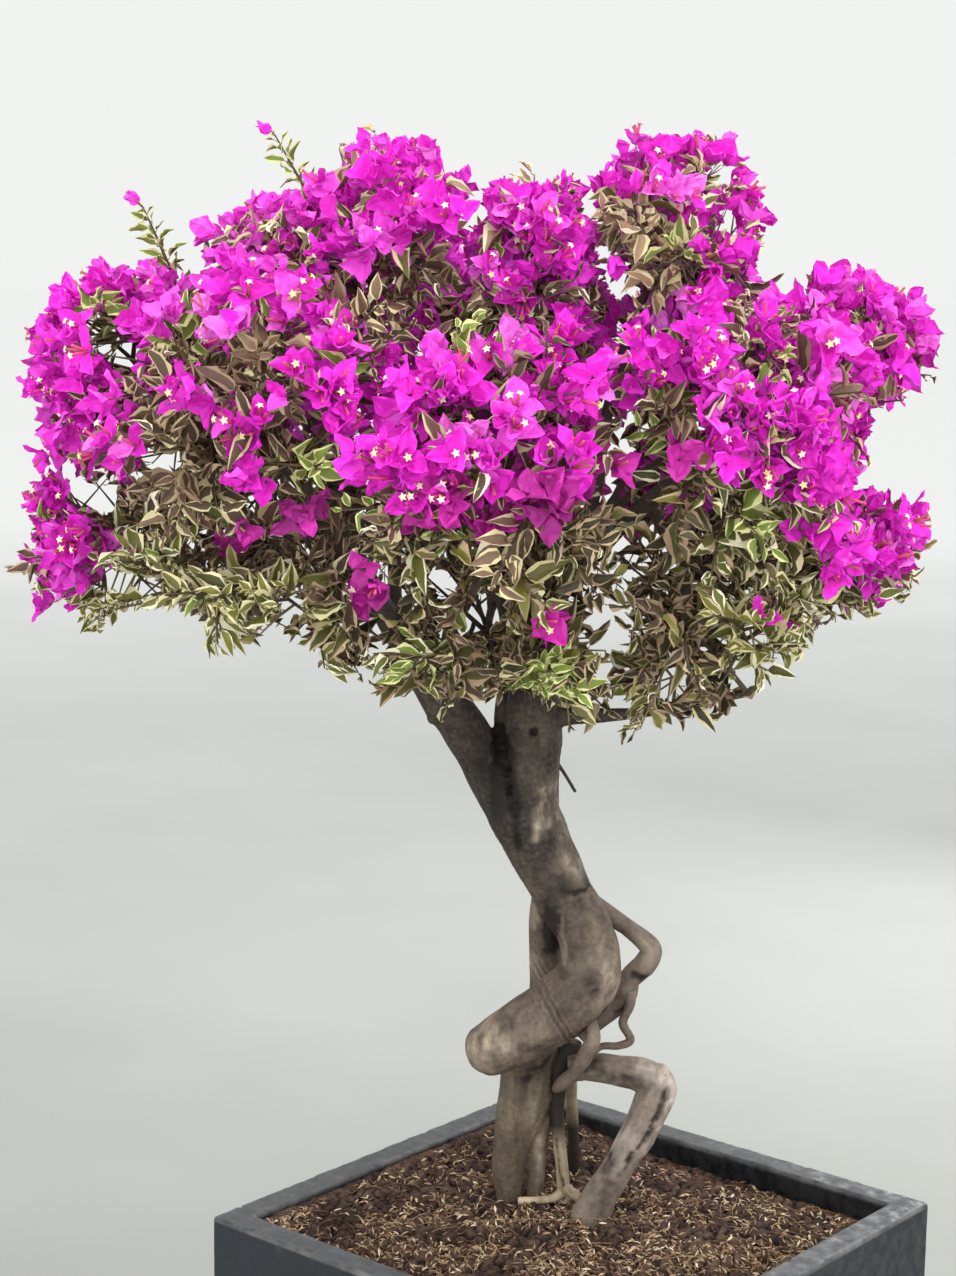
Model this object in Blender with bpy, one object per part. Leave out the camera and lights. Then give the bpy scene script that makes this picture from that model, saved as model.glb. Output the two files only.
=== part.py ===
"""A potted bougainvillea: a square planter, its soil, a twisted trunk on exposed roots,
boughs that each lead to one mass of foliage, and the masses themselves.

Metres, +Z up. The origin is the centre of the planter's flat underside, and the planter's
sides run along X and Y. The plant is set out in its own frame, which is turned about Z:
u runs to the plant's right, w to its back and z up.
"""

import bmesh
import bpy
import numpy as np

# ---------------------------------------------------------------- driving dimensions
GAP = 0.0003  # clearance between solids that touch on the real plant

POT_SIDE = 0.450
POT_HEIGHT = 0.400
POT_WALL = 0.027
POT_FLOOR = 0.030
POT_EDGE = 0.004  # worn round of the planter's edges

SOIL_TOP = 0.392  # flat plateau round the trunk
SOIL_DROP = 0.015  # how far it falls from there to the walls
SOIL_PLATEAU = 0.62  # the plateau's reach, as a share of the way to the walls
SOIL_SWELL = 0.002
SOIL_CELLS = 10
FOOT_Z = SOIL_TOP + GAP  # the flat cut under every stem and root

PLANT_TURN = np.radians(40.0)  # of the plant's own frame, about Z
TRUNK_SIDES = 10
TRUNK_STEP = 0.016  # between the rings of the trunk
LEG_STEP = 0.018  # between the rings of the stems that are fused to it
BOUGH_STEP = 0.030
CUT_SWELL = GAP * 1.25  # how much larger than a limb its cut in a neighbour is

# Each limb is a line of stations (u, w, z, radius).
# The trunk's main line starts at the blunt knee above the left leg, runs along the thigh,
# turns up at the hip, narrows at the waist and ends where it forks.
TRUNK_MAIN = [
    (-0.096, 0.005, 0.538, 0.010),
    (-0.088, 0.005, 0.541, 0.020),
    (-0.070, 0.004, 0.549, 0.0255),
    (-0.043, 0.000, 0.568, 0.0275),
    (-0.012, 0.006, 0.587, 0.0290),
    (0.008, 0.013, 0.610, 0.0275),
    (0.005, 0.020, 0.645, 0.0250),
    (-0.016, 0.030, 0.680, 0.0265),
    (-0.043, 0.030, 0.733, 0.0300),
    (-0.053, 0.030, 0.763, 0.0325),
    (-0.045, 0.030, 0.815, 0.0262),
    (-0.043, 0.030, 0.859, 0.0235),
]
LEFT_LEG = [
    (-0.036, 0.036, 0.562, 0.0225),
    (-0.042, 0.045, 0.520, 0.0245),
    (-0.046, 0.045, 0.485, 0.0235),
    (-0.056, 0.045, 0.445, 0.0170),
    (-0.059, 0.047, 0.412, 0.0140),
    (-0.058, 0.048, 0.390, 0.0115),
]
LEG_RIB = [
    (-0.026, 0.050, 0.520, 0.0110),
    (-0.030, 0.050, 0.463, 0.0092),
    (-0.034, 0.050, 0.420, 0.0083),
    (-0.035, 0.050, 0.390, 0.0083),
]
BACK_STEM = [
    (-0.024, 0.047, 0.690, 0.0175),
    (-0.029, 0.052, 0.645, 0.0150),
    (-0.029, 0.054, 0.610, 0.0140),
    (-0.031, 0.052, 0.570, 0.0145),
    (-0.037, 0.048, 0.530, 0.0170),
]
RIGHT_LEG_UPPER = [
    (-0.008, 0.030, 0.519, 0.0115),
    (0.012, 0.030, 0.521, 0.0117),
    (0.036, 0.027, 0.519, 0.0124),
    (0.056, 0.023, 0.516, 0.0143),
    (0.069, 0.020, 0.508, 0.0165),
]
RIGHT_LEG_LOWER = [
    (0.069, 0.020, 0.508, 0.0165),
    (0.065, 0.018, 0.490, 0.0167),
    (0.055, 0.014, 0.468, 0.0158),
    (0.040, 0.010, 0.442, 0.0142),
    (0.024, 0.006, 0.414, 0.0138),
    (0.013, 0.005, 0.390, 0.0170),
]
ARM_ROOT = [
    (0.012, 0.042, 0.667, 0.0080),
    (0.027, 0.045, 0.655, 0.0076),
    (0.045, 0.045, 0.642, 0.0080),
    (0.063, 0.045, 0.626, 0.0095),
]
FOREARM_ROOT = [
    (0.063, 0.045, 0.626, 0.0095),
    (0.059, 0.045, 0.611, 0.0104),
    (0.046, 0.046, 0.597, 0.0088),
    (0.040, 0.050, 0.577, 0.0090),
    (0.020, 0.050, 0.559, 0.0080),
    (0.003, 0.049, 0.542, 0.0080),
]
LOOP_TWIG = [
    (0.046, 0.040, 0.575, 0.0044),
    (0.040, 0.035, 0.560, 0.0040),
    (0.047, 0.034, 0.545, 0.0040),
    (0.036, 0.035, 0.539, 0.0034),
    (0.022, 0.036, 0.538, 0.0030),
]
INNER_ROOT = [
    (-0.006, 0.046, 0.540, 0.0100),
    (-0.015, 0.045, 0.510, 0.0107),
    (-0.018, 0.045, 0.480, 0.0090),
    (-0.014, 0.042, 0.450, 0.0063),
    (-0.011, 0.040, 0.420, 0.0058),
    (-0.009, 0.040, 0.390, 0.0063),
]
CURVED_ROOT = [
    (0.012, -0.012, 0.562, 0.0060),
    (0.006, -0.006, 0.545, 0.0066),
    (0.000, 0.004, 0.530, 0.0066),
    (-0.012, 0.018, 0.510, 0.0060),
]
BACK_ROOT = [
    (-0.003, 0.060, 0.512, 0.0054),
    (-0.003, 0.080, 0.483, 0.0054),
    (0.000, 0.097, 0.440, 0.0051),
    (0.003, 0.108, 0.390, 0.0052),
]
FOOT_ROOT = [
    (-0.050, 0.028, FOOT_Z + 0.0036, 0.0032),
    (-0.034, 0.029, FOOT_Z + 0.0040, 0.0036),
    (-0.019, 0.033, FOOT_Z + 0.0046, 0.0040),
    (-0.010, 0.036, FOOT_Z + 0.0090, 0.0044),
]
TOE_ROOT = [
    (-0.008, 0.030, 0.4085, 0.0044),
    (0.001, 0.024, 0.4035, 0.0044),
    (0.012, 0.017, 0.3985, 0.0044),
]
STUB_TWIG = [
    (-0.026, 0.038, 0.798, 0.0020),
    (-0.016, 0.042, 0.783, 0.0018),
    (-0.006, 0.046, 0.766, 0.0016),
]
LEFT_BOUGH_FOOT = [
    (-0.064, 0.030, 0.758, 0.0226),
    (-0.084, 0.030, 0.792, 0.0210),
    (-0.108, 0.030, 0.830, 0.0199),
    (-0.134, 0.030, 0.865, 0.0172),
]
DARK_BOUGH_FOOT = [
    (-0.068, 0.034, 0.806, 0.0104),
    (-0.068, 0.042, 0.836, 0.0104),
    (-0.064, 0.060, 0.875, 0.0092),
]
LOW_BOUGH_FOOT = [
    (-0.036, 0.030, 0.838, 0.0138),
    (-0.009, 0.020, 0.839, 0.0120),
    (0.012, 0.008, 0.842, 0.0085),
    (0.046, -0.008, 0.848, 0.0068),
    (0.078, -0.022, 0.855, 0.0050),
]

# Each exposed root: its stations, its sides, the step between its rings, the limbs that it is
# cut clear of, and whether it ends in a flat foot on the soil.
ROOTS = {
    "right_leg_upper": (RIGHT_LEG_UPPER, 8, 0.014, ["trunk"], False),
    "right_leg_lower": (RIGHT_LEG_LOWER, 8, 0.015, ["right_leg_upper"], True),
    "inner_root": (INNER_ROOT, 6, 0.018, ["trunk", "right_leg_upper"], True),
    "back_root": (BACK_ROOT, 6, 0.022, ["trunk", "right_leg_upper", "inner_root"], True),
    "curved_root": (CURVED_ROOT, 6, 0.010, ["trunk", "right_leg_upper", "inner_root"], False),
    "arm_root": (ARM_ROOT, 6, 0.014, ["trunk"], False),
    "forearm_root": (
        FOREARM_ROOT,
        6,
        0.012,
        ["arm_root", "trunk", "inner_root", "right_leg_upper"],
        False,
    ),
    "loop_twig": (LOOP_TWIG, 6, 0.008, ["forearm_root", "right_leg_upper"], False),
    "foot_root": (FOOT_ROOT, 6, 0.010, ["trunk", "inner_root"], False),
    "toe_root": (TOE_ROOT, 6, 0.008, ["inner_root", "right_leg_lower", "foot_root"], False),
    "stub_twig": (STUB_TWIG, 5, 0.012, ["trunk"], False),
}

# The crown. Each mass is an ellipsoid that shares the room with its neighbours:
# name: (centre u, w, z), (reach u, w, z), share of its tips in bloom.
HEART = np.array([-0.085, 0.030, 0.960])  # the crown is full outward of this point
MASSES = {
    "far_left_high": ((-0.370, 0.030, 1.115), (0.125, 0.145, 0.108), 0.9),
    "far_left_low": ((-0.380, 0.020, 0.985), (0.112, 0.140, 0.088), 0.5),
    "top_left": ((-0.195, 0.050, 1.205), (0.150, 0.155, 0.132), 1.0),
    "centre_high": ((-0.055, 0.055, 1.185), (0.125, 0.145, 0.125), 0.9),
    "top_right": ((0.065, 0.045, 1.215), (0.108, 0.145, 0.128), 0.9),
    "right_high": ((0.185, 0.030, 1.110), (0.118, 0.140, 0.122), 0.9),
    "right_low": ((0.190, 0.010, 0.985), (0.110, 0.140, 0.080), 0.5),
    "front_left": ((-0.255, -0.150, 1.095), (0.155, 0.145, 0.128), 0.7),
    "front_left_low": ((-0.250, -0.120, 0.965), (0.155, 0.155, 0.088), 0.2),
    "front": ((-0.085, -0.200, 1.060), (0.140, 0.138, 0.130), 0.6),
    "front_low": ((-0.080, -0.140, 0.935), (0.140, 0.155, 0.085), 0.1),
    "front_right": ((0.095, -0.150, 1.085), (0.135, 0.145, 0.130), 0.6),
    "front_right_low": ((0.078, -0.110, 0.940), (0.145, 0.155, 0.088), 0.2),
    "back_left": ((-0.250, 0.200, 1.060), (0.160, 0.158, 0.165), 0.6),
    "back": ((-0.080, 0.250, 1.080), (0.140, 0.135, 0.165), 0.6),
    "back_right": ((0.110, 0.200, 1.060), (0.150, 0.155, 0.165), 0.6),
}
# Long shoots that stand out of the masses and give the outline its furthest tips.
LEADERS = {
    "far_left_high": [(-0.470, 0.030, 1.170), (-0.372, 0.020, 1.268)],
    "far_left_low": [(-0.488, 0.000, 1.030), (-0.452, 0.020, 0.912)],
    "top_left": [(-0.288, 0.040, 1.318), (-0.170, 0.030, 1.340)],
    "centre_high": [(-0.040, 0.060, 1.300)],
    "top_right": [(0.040, 0.030, 1.330), (0.111, 0.040, 1.350)],
    "right_high": [(0.295, 0.030, 1.172), (0.225, 0.020, 1.235)],
    "right_low": [(0.292, 0.020, 1.015), (0.245, 0.000, 0.928)],
    "front_left_low": [(-0.320, -0.120, 0.905)],
    "front_right_low": [(0.128, -0.100, 0.880)],
}
# Open pockets in the crown, as (centre u, w, z), radius.
POCKETS = [
    ((0.148, 0.030, 1.245), 0.040),
    ((0.300, 0.030, 1.085), 0.038),
    ((-0.335, 0.020, 1.060), 0.030),
]
# Each bough: the limb that it springs from, how far along that limb, the mass it leads to,
# its radius at the foot and at the tip.
BOUGHS = {
    "left_bough": ("trunk", 0.0, "far_left_high", 0.0150, 0.0050),
    "low_bough": ("trunk", 0.0, "front_right_low", 0.0045, 0.0040),
    "dark_bough": ("trunk", 0.0, "top_left", 0.0088, 0.0048),
    "centre_bough": ("trunk", 1.0, "centre_high", 0.0210, 0.0050),
    "right_bough": ("centre_bough", 0.10, "right_high", 0.0130, 0.0048),
    "front_bough": ("centre_bough", 0.36, "front", 0.0090, 0.0046),
    "back_bough": ("centre_bough", 0.54, "back", 0.0085, 0.0046),
    "back_left_bough": ("left_bough", 0.44, "back_left", 0.0095, 0.0046),
    "left_low_bough": ("left_bough", 0.52, "front_left_low", 0.0080, 0.0042),
    "front_left_bough": ("left_bough", 0.64, "front_left", 0.0085, 0.0044),
    "far_left_low_bough": ("left_bough", 0.79, "far_left_low", 0.0070, 0.0044),
    "top_right_bough": ("right_bough", 0.30, "top_right", 0.0085, 0.0046),
    "front_right_bough": ("right_bough", 0.46, "front_right", 0.0075, 0.0044),
    "back_right_bough": ("right_bough", 0.60, "back_right", 0.0072, 0.0044),
    "right_low_bough": ("right_bough", 0.76, "right_low", 0.0060, 0.0042),
    "front_low_bough": ("front_bough", 0.28, "front_low", 0.0065, 0.0040),
}
THICK_BOUGHS = ("left_bough", "centre_bough")
BOUGH_FEET = {  # what is seen of these three where they leave the trunk
    "left_bough": LEFT_BOUGH_FOOT,
    "dark_bough": DARK_BOUGH_FOOT,
    "low_bough": LOW_BOUGH_FOOT,
}
BOUGH_ENDS = {"low_bough": (0.112, -0.040, 0.868)}  # a bough that runs straight on to its mass
BOUGH_STOP = 0.42  # a bough ends this share of the way from its mass's centre to the heart
BOUGH_STOP_STEP = 0.02  # that share falls by this until the end lies in the mass's own space
BOUGH_BEND = 0.30  # reach of the bend at each end of a bough, as a share of its span
BOUGH_LIFT = 0.35  # how far a bough turns up as it arrives
BOUGH_TAPER = 0.8  # below 1, a bough thins sooner near its foot

SPACE_MARGIN = 0.0008  # kept between a mass and the plane that parts it from its neighbour
LIMB_MARGIN = 0.0060  # kept between a blade or twig and a limb
TIP_DEPTHS = (0.30, 0.70)  # of the shoots' ends, as a share of the way out of the mass
TIPS = 10  # shoots on each mass, besides its leaders
TIP_POOL = 260  # places tried for the tips of one mass
TIP_CLEAR = 0.012  # kept between a tip and a limb
TIP_INWARD = -0.45  # least outwardness of a tip: 1 is straight out of the crown, -1 straight in
TWIG_RADIUS = 0.0017
TWIG_TAPER = 0.8  # a twig's end, as a share of its foot's radius
TWIG_SWELL = 0.42  # a twig that feeds n tips is n to this power times thicker
TWIG_SINK = 0.6  # how deep a twig's foot is sunk, in its own radii
TWIG_OVERRUN = 0.1  # how far it runs on past its tip, in the same measure
TWIG_SIDES = 3
STEM_SIDES = 5
STEM_RUN = 0.022  # a mass's stem runs straight this far before it forks
STEM_SHARE = 0.95  # of the bough's radius, at the foot of the stem
STEM_TAPER = 0.80  # the same at its fork
STEM_SINK = 0.003  # how far the stem runs on past its fork
FORK_SHARE = 0.75  # of the bough's radius: no twig is thicker
FORK_PLACES = (0.16, 0.34)  # along a twig, where its two side twigs spring from it

BLADE_LENGTH = 0.076
BLADE_WIDTH = 0.056
BLADE_THICK = 0.0016
BLADE_FOLD = 0.006
BLADE_OPEN = np.radians(58.0)  # between a blade and its twig
BLADE_PLACES = (0.34, 0.56, 0.78)  # along a shoot
TURN_STEP = np.radians(137.5)  # from each blade to the next
TURN_RETRY = np.radians(67.0)  # a blade with no room is turned this much and tried again
BLADE_SPACING = 0.009
TWIG_MARGIN = 0.0020  # kept between a twig and a limb, or a blade and another twig
MAIN_FEEDS = 4  # a twig that feeds fewer tips than this is skipped where it would touch a limb
TWIG_PAD = 0.0045  # kept between the end of a twig and the planes of its space
BARE_RUN = 0.110  # blades stand on this last stretch of a shoot only
LEADER_SIZE = 0.60  # of the young blades on a leader
BLADE_SIZES = (0.88, 1.06)  # least and greatest, against the full length
BLADE_WIDEST = 0.45  # along a blade
BLADE_WOBBLE = 0.40  # how unevenly blades face the light
BLADE_SINK = 0.003  # how far a blade at a twig's tip is set back into it
BLADE_TRIES = 6
TIP_LEAN = 0.5  # a tip's piece with no room leans this far to one side after another
TIP_LIGHT = 0.5  # how far a blossom turns to the light
LIGHT_OUT, LIGHT_SIDE, LIGHT_UP = 0.5, 0.7, 0.2  # where the light that blades face comes from
BRACT_LENGTH = 0.047
BRACT_CUP = np.radians(38.0)  # how far the three bracts of a blossom lift
BRACT_WAIST = 0.42  # radius of the notch between two bracts, as a share of their length
BRACT_WAIST_LIFT = 0.30
BLOSSOM_EYE = 0.0012  # how far the middle of a blossom stands above its twig's tip
BLOSSOM_SINK = 0.006
SEED = 11

UP = np.array([0.0, 0.0, 1.0])


# ---------------------------------------------------------------- the scene and its colours
def clear_scene():
    for thing in list(bpy.data.objects):
        bpy.data.objects.remove(thing, do_unlink=True)


def finish_named(name, colour, roughness):
    """A plain Principled material."""
    finish = bpy.data.materials.new(name)
    finish.use_nodes = True
    shader = finish.node_tree.nodes["Principled BSDF"]
    shader.inputs["Base Color"].default_value = (*colour, 1.0)
    shader.inputs["Roughness"].default_value = roughness
    shader.inputs["Metallic"].default_value = 0.0
    return finish


# ---------------------------------------------------------------- solids from arrays
def unit(vector):
    return vector / np.linalg.norm(vector)


def solid(name, verts, faces):
    """An object from points and faces, with its faces turned outward."""
    mesh = bpy.data.meshes.new(name)
    mesh.from_pydata([tuple(v) for v in verts], [], [tuple(f) for f in faces])
    work = bmesh.new()
    work.from_mesh(mesh)
    if work.calc_volume(signed=True) < 0:
        bmesh.ops.reverse_faces(work, faces=work.faces)
    work.to_mesh(mesh)
    work.free()
    thing = bpy.data.objects.new(name, mesh)
    bpy.context.scene.collection.objects.link(thing)
    return thing


def smooth_line(stations, step):
    """Points about one step apart on a smooth curve through the stations."""
    knots = np.array(stations, float)
    before = 2 * knots[0] - knots[1]
    after = 2 * knots[-1] - knots[-2]
    knots = np.vstack([before, knots, after])
    line = []
    for a, b, c, d in zip(knots[:-3], knots[1:-2], knots[2:-1], knots[3:]):
        count = max(1, round(np.linalg.norm(c[:3] - b[:3]) / step))
        for t in np.arange(count) / count:
            line.append(
                0.5
                * (
                    2 * b
                    + (c - a) * t
                    + (2 * a - 5 * b + 4 * c - d) * t**2
                    + (3 * b - a - 3 * c + d) * t**3
                )
            )
    line.append(knots[-2])
    return np.array(line)


def tube(name, line, sides, extra=0.0, foot_z=None):
    """A closed tube along a line of (u, w, z, radius), its rings square to the line.

    extra swells it and lengthens both ends. foot_z cuts its last ring flat at that height.
    """
    points = line[:, :3].copy()
    radii = line[:, 3] + extra
    runs = np.gradient(points, axis=0)
    runs = runs / np.linalg.norm(runs, axis=1)[:, None]
    points[0] -= runs[0] * extra
    points[-1] += runs[-1] * extra
    across = unit(np.cross(runs[0], [0.31, 0.83, 0.46]))
    rings = []
    for point, run, radius in zip(points, runs, radii):
        across = unit(across - run * np.dot(across, run))
        beside = np.cross(run, across)
        turns = np.arange(sides) * 2 * np.pi / sides
        ring = point + radius * (np.outer(np.cos(turns), across) + np.outer(np.sin(turns), beside))
        rings.append(ring)
    if foot_z is not None:
        drop = (foot_z - extra - rings[-1][:, 2]) / runs[-1][2]
        rings[-1] = rings[-1] + np.outer(drop, runs[-1])
    faces = [range(sides), range((len(rings) - 1) * sides, len(rings) * sides)[::-1]]
    for i in range(len(rings) - 1):
        for j in range(sides):
            k = (j + 1) % sides
            low, high = i * sides, (i + 1) * sides
            faces.append((low + k, low + j, high + j, high + k))
    return solid(name, np.vstack(rings), faces)


def boolean(body, others, operation, solver="EXACT"):
    """One Boolean of a body with a collection of others, applied; the others are removed."""
    group = bpy.data.collections.new(body.name + "_others")
    bpy.context.scene.collection.children.link(group)
    for other in others:
        bpy.context.scene.collection.objects.unlink(other)
        group.objects.link(other)
    change = body.modifiers.new("join", "BOOLEAN")
    change.operation = operation
    change.operand_type = "COLLECTION"
    change.collection = group
    change.solver = solver
    whole = body.evaluated_get(bpy.context.evaluated_depsgraph_get())
    mesh = bpy.data.meshes.new_from_object(whole)
    body.modifiers.clear()
    body.data = mesh
    for other in others:
        bpy.data.objects.remove(other, do_unlink=True)
    bpy.data.collections.remove(group)
    keep_largest(body)


def keep_largest(body):
    """Splits every face into triangles and drops all but the body's largest piece."""
    work = bmesh.new()
    work.from_mesh(body.data)
    bmesh.ops.triangulate(work, faces=work.faces)
    left = set(work.faces)
    groups = []
    while left:
        front = [left.pop()]
        group = set(front)
        while front:
            face = front.pop()
            for edge in face.edges:
                for near in edge.link_faces:
                    if near in left:
                        left.remove(near)
                        group.add(near)
                        front.append(near)
        groups.append(group)
    largest = max(groups, key=len)
    scraps = [face for face in work.faces if face not in largest]
    bmesh.ops.delete(work, geom=scraps, context="FACES")
    work.to_mesh(body.data)
    work.free()


# ---------------------------------------------------------------- planter and soil
def soil_height(x, y):
    """A plateau that eases down to the walls, with low swells outside it."""
    half = POT_SIDE / 2 - POT_WALL
    reach = ((x / half) ** 4 + (y / half) ** 4) ** 0.25
    ease = np.clip((reach - SOIL_PLATEAU) / (1 - SOIL_PLATEAU), 0.0, 1.0)
    ease = ease * ease * (3 - 2 * ease)
    swell = SOIL_SWELL * ease * np.sin(61 * x + 1.3) * np.sin(53 * y + 0.4)
    return SOIL_TOP - SOIL_DROP * ease + swell


def planter():
    """An open square box with a floor, straight walls and softly worn edges."""
    outer, inner = POT_SIDE / 2, POT_SIDE / 2 - POT_WALL
    corners = ((-1, -1), (1, -1), (1, 1), (-1, 1))
    levels = ((outer, 0.0), (outer, POT_HEIGHT), (inner, POT_HEIGHT), (inner, POT_FLOOR))
    verts = [(x * half, y * half, z) for half, z in levels for x, y in corners]
    faces = [(3, 2, 1, 0), (12, 13, 14, 15)]
    for level in range(3):
        for i in range(4):
            j = (i + 1) % 4
            low, high = 4 * level, 4 * level + 4
            faces.append((low + i, low + j, high + j, high + i))
    pot = solid("planter", verts, faces)
    work = bmesh.new()
    work.from_mesh(pot.data)
    worn = []
    for edge in work.edges:
        middle = (edge.verts[0].co + edge.verts[1].co) / 2
        outside = all(max(abs(v.co.x), abs(v.co.y)) > outer - 0.001 for v in edge.verts)
        if outside or middle.z > POT_HEIGHT - 0.001:
            worn.append(edge)
    bmesh.ops.bevel(work, geom=worn, offset=POT_EDGE, segments=2, profile=0.5, affect="EDGES")
    work.to_mesh(pot.data)
    work.free()
    return pot


def soil():
    """A block that fills the planter, its top a grid of heights."""
    half = POT_SIDE / 2 - POT_WALL - GAP
    base = POT_FLOOR + GAP
    marks = np.linspace(-half, half, SOIL_CELLS + 1)
    count = len(marks)
    verts = [(x, y, soil_height(x, y)) for y in marks for x in marks]
    faces = []
    for row in range(SOIL_CELLS):
        for col in range(SOIL_CELLS):
            a = row * count + col
            faces.append((a, a + 1, a + count + 1, a + count))
    rim = [col for col in range(count)]
    rim += [row * count + count - 1 for row in range(1, count)]
    rim += [(count - 1) * count + col for col in range(count - 2, -1, -1)]
    rim += [row * count for row in range(count - 2, 0, -1)]
    first = len(verts)
    verts += [(verts[i][0], verts[i][1], base) for i in rim]
    for k, i in enumerate(rim):
        after = (k + 1) % len(rim)
        faces.append((i, first + k, first + after, rim[after]))
    faces.append(tuple(range(first + len(rim) - 1, first - 1, -1)))
    return solid("soil", verts, faces)


# ---------------------------------------------------------------- limbs
LIMB_LINES = {}  # name: the line that each limb follows, for its neighbours to keep clear of
LIMB_SIDES = {}


def limb(name, stations, sides, step, clear_of=(), foot=False):
    """A limb along its stations, cut 0.3 mm clear of the limbs that it springs from."""
    line = smooth_line(stations, step)
    body = tube(name, line, sides, foot_z=FOOT_Z if foot else None)
    cutters = []
    for other in clear_of:
        for part, its_line in LIMB_LINES.items():
            if part.split(":")[0] == other:
                cutters.append(tube("cutter", its_line, LIMB_SIDES[part], extra=CUT_SWELL))
    if cutters:
        boolean(body, cutters, "DIFFERENCE")
    LIMB_LINES[name] = line
    LIMB_SIDES[name] = sides
    return body


def trunk():
    """The trunk with its left leg, the rib on that leg and the stem behind the waist, fused."""
    LIMB_LINES["trunk"] = smooth_line(TRUNK_MAIN, TRUNK_STEP)
    LIMB_SIDES["trunk"] = TRUNK_SIDES
    body = tube("trunk", LIMB_LINES["trunk"], TRUNK_SIDES)
    parts = {
        "trunk:leg": (LEFT_LEG, 10, FOOT_Z),
        "trunk:rib": (LEG_RIB, 8, FOOT_Z),
        "trunk:back": (BACK_STEM, 8, None),
    }
    joined = []
    for name, (stations, sides, foot_z) in parts.items():
        LIMB_LINES[name] = smooth_line(stations, LEG_STEP)
        LIMB_SIDES[name] = sides
        joined.append(tube(name, LIMB_LINES[name], sides, foot_z=foot_z))
    boolean(body, joined, "UNION")
    return body


def roots():
    """The exposed roots, each cut clear of those that were set before it."""
    made = []
    for name, (stations, sides, step, clear_of, foot) in ROOTS.items():
        made.append(limb(name, stations, sides, step, clear_of, foot))
    return made


def point_on(line, share):
    """The point, radius and direction at a share of a line's length."""
    steps = np.linalg.norm(np.diff(line[:, :3], axis=0), axis=1)
    ends = np.concatenate([[0.0], np.cumsum(steps)])
    place = share * ends[-1]
    i = min(np.searchsorted(ends, place, side="right") - 1, len(steps) - 1)
    t = (place - ends[i]) / steps[i]
    run = unit(line[i + 1, :3] - line[i, :3])
    return line[i] * (1 - t) + line[i + 1] * t, run


def bough_end(mass):
    """Where a bough stops: on the way out to its mass, as soon as it is in the mass's own space."""
    space = Space(mass)
    share = BOUGH_STOP
    while not space.holds(space.centre + share * (HEART - space.centre), pad=TWIG_PAD):
        share -= BOUGH_STOP_STEP
    return space.centre + share * (HEART - space.centre)


def bough_stations(name):
    """A bough's stations: its seen foot if it has one, then a bent line to its mass."""
    parent, share, mass, foot_radius, tip_radius = BOUGHS[name]
    stations = list(BOUGH_FEET.get(name, []))
    if stations:
        start = np.array(stations[-1][:3])
        run = unit(start - np.array(stations[-2][:3]))
    else:
        place, run = point_on(LIMB_LINES[parent], share)
        start = place[:3]
        stations = [(*start, foot_radius)]
    if name in BOUGH_ENDS:
        end = np.array(BOUGH_ENDS[name])
        heading = run
    else:
        end = bough_end(mass)
        heading = unit(unit(MASSES[mass][0] - HEART) + BOUGH_LIFT * UP)
    bend = BOUGH_BEND * np.linalg.norm(end - start)
    lead = start + run * bend
    arrive = end - heading * bend
    for t in (0.25, 0.5, 0.75, 1.0):
        s = 1 - t
        place = s**3 * start + 3 * s * s * t * lead + 3 * s * t * t * arrive + t**3 * end
        stations.append((*place, foot_radius + (tip_radius - foot_radius) * t**BOUGH_TAPER))
    return stations


def boughs():
    """The boughs, each one tapering limb from its parent to the mass that it carries."""
    made = []
    for name, (parent, _, _, _, _) in BOUGHS.items():
        before = [parent]
        before += [other for other in BOUGHS if BOUGHS[other][0] == parent and other in LIMB_LINES]
        sides = 8 if name in THICK_BOUGHS else 6
        made.append(limb(name, bough_stations(name), sides, BOUGH_STEP, before))
    return made


# ---------------------------------------------------------------- masses of foliage
class Space:
    """The room of one mass: its ellipsoid, less what lies past the planes to its neighbours."""

    def __init__(self, name):
        self.centre = np.array(MASSES[name][0])
        self.reach = np.array(MASSES[name][1])
        self.planes = []
        for other, (centre, reach, _) in MASSES.items():
            if other == name:
                continue
            away = np.array(centre) - self.centre
            span = np.linalg.norm(away)
            weight = np.mean(self.reach) ** 2 - np.mean(reach) ** 2
            place = (span**2 + weight) / (2 * span)
            self.planes.append((away / span, place - SPACE_MARGIN))

    def holds(self, points, free=False, pad=0.0):
        """Whether all points lie in the room, a pad inside its planes.

        A leader's points are free of the ellipsoid.
        """
        points = np.atleast_2d(points) - self.centre
        if not free and np.any(np.sum((points / self.reach) ** 2, axis=1) > 1):
            return False
        for normal, place in self.planes:
            if np.any(points @ normal > place - pad):
                return False
        return True


def nearest_on_limbs(points, limbs):
    """The least clearance between points and a set of limb segments."""
    starts, ends, radii = limbs
    span = ends - starts
    along = np.einsum("pk,sk->ps", points, span) - np.einsum("sk,sk->s", starts, span)
    share = np.clip(along / np.einsum("sk,sk->s", span, span), 0, 1)
    near = starts[None] + share[..., None] * span[None]
    away = np.linalg.norm(points[:, None] - near, axis=2) - radii[None]
    return away.min()


def limb_segments(skip_tip_of):
    """All limbs as segments with radii, without the last stretch of one bough."""
    starts, ends, radii = [], [], []
    for name, line in LIMB_LINES.items():
        last = len(line) - (2 if name == skip_tip_of else 1)
        for i in range(last):
            starts.append(line[i, :3])
            ends.append(line[i + 1, :3])
            radii.append(max(line[i, 3], line[i + 1, 3]))
    return np.array(starts), np.array(ends), np.array(radii)


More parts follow.
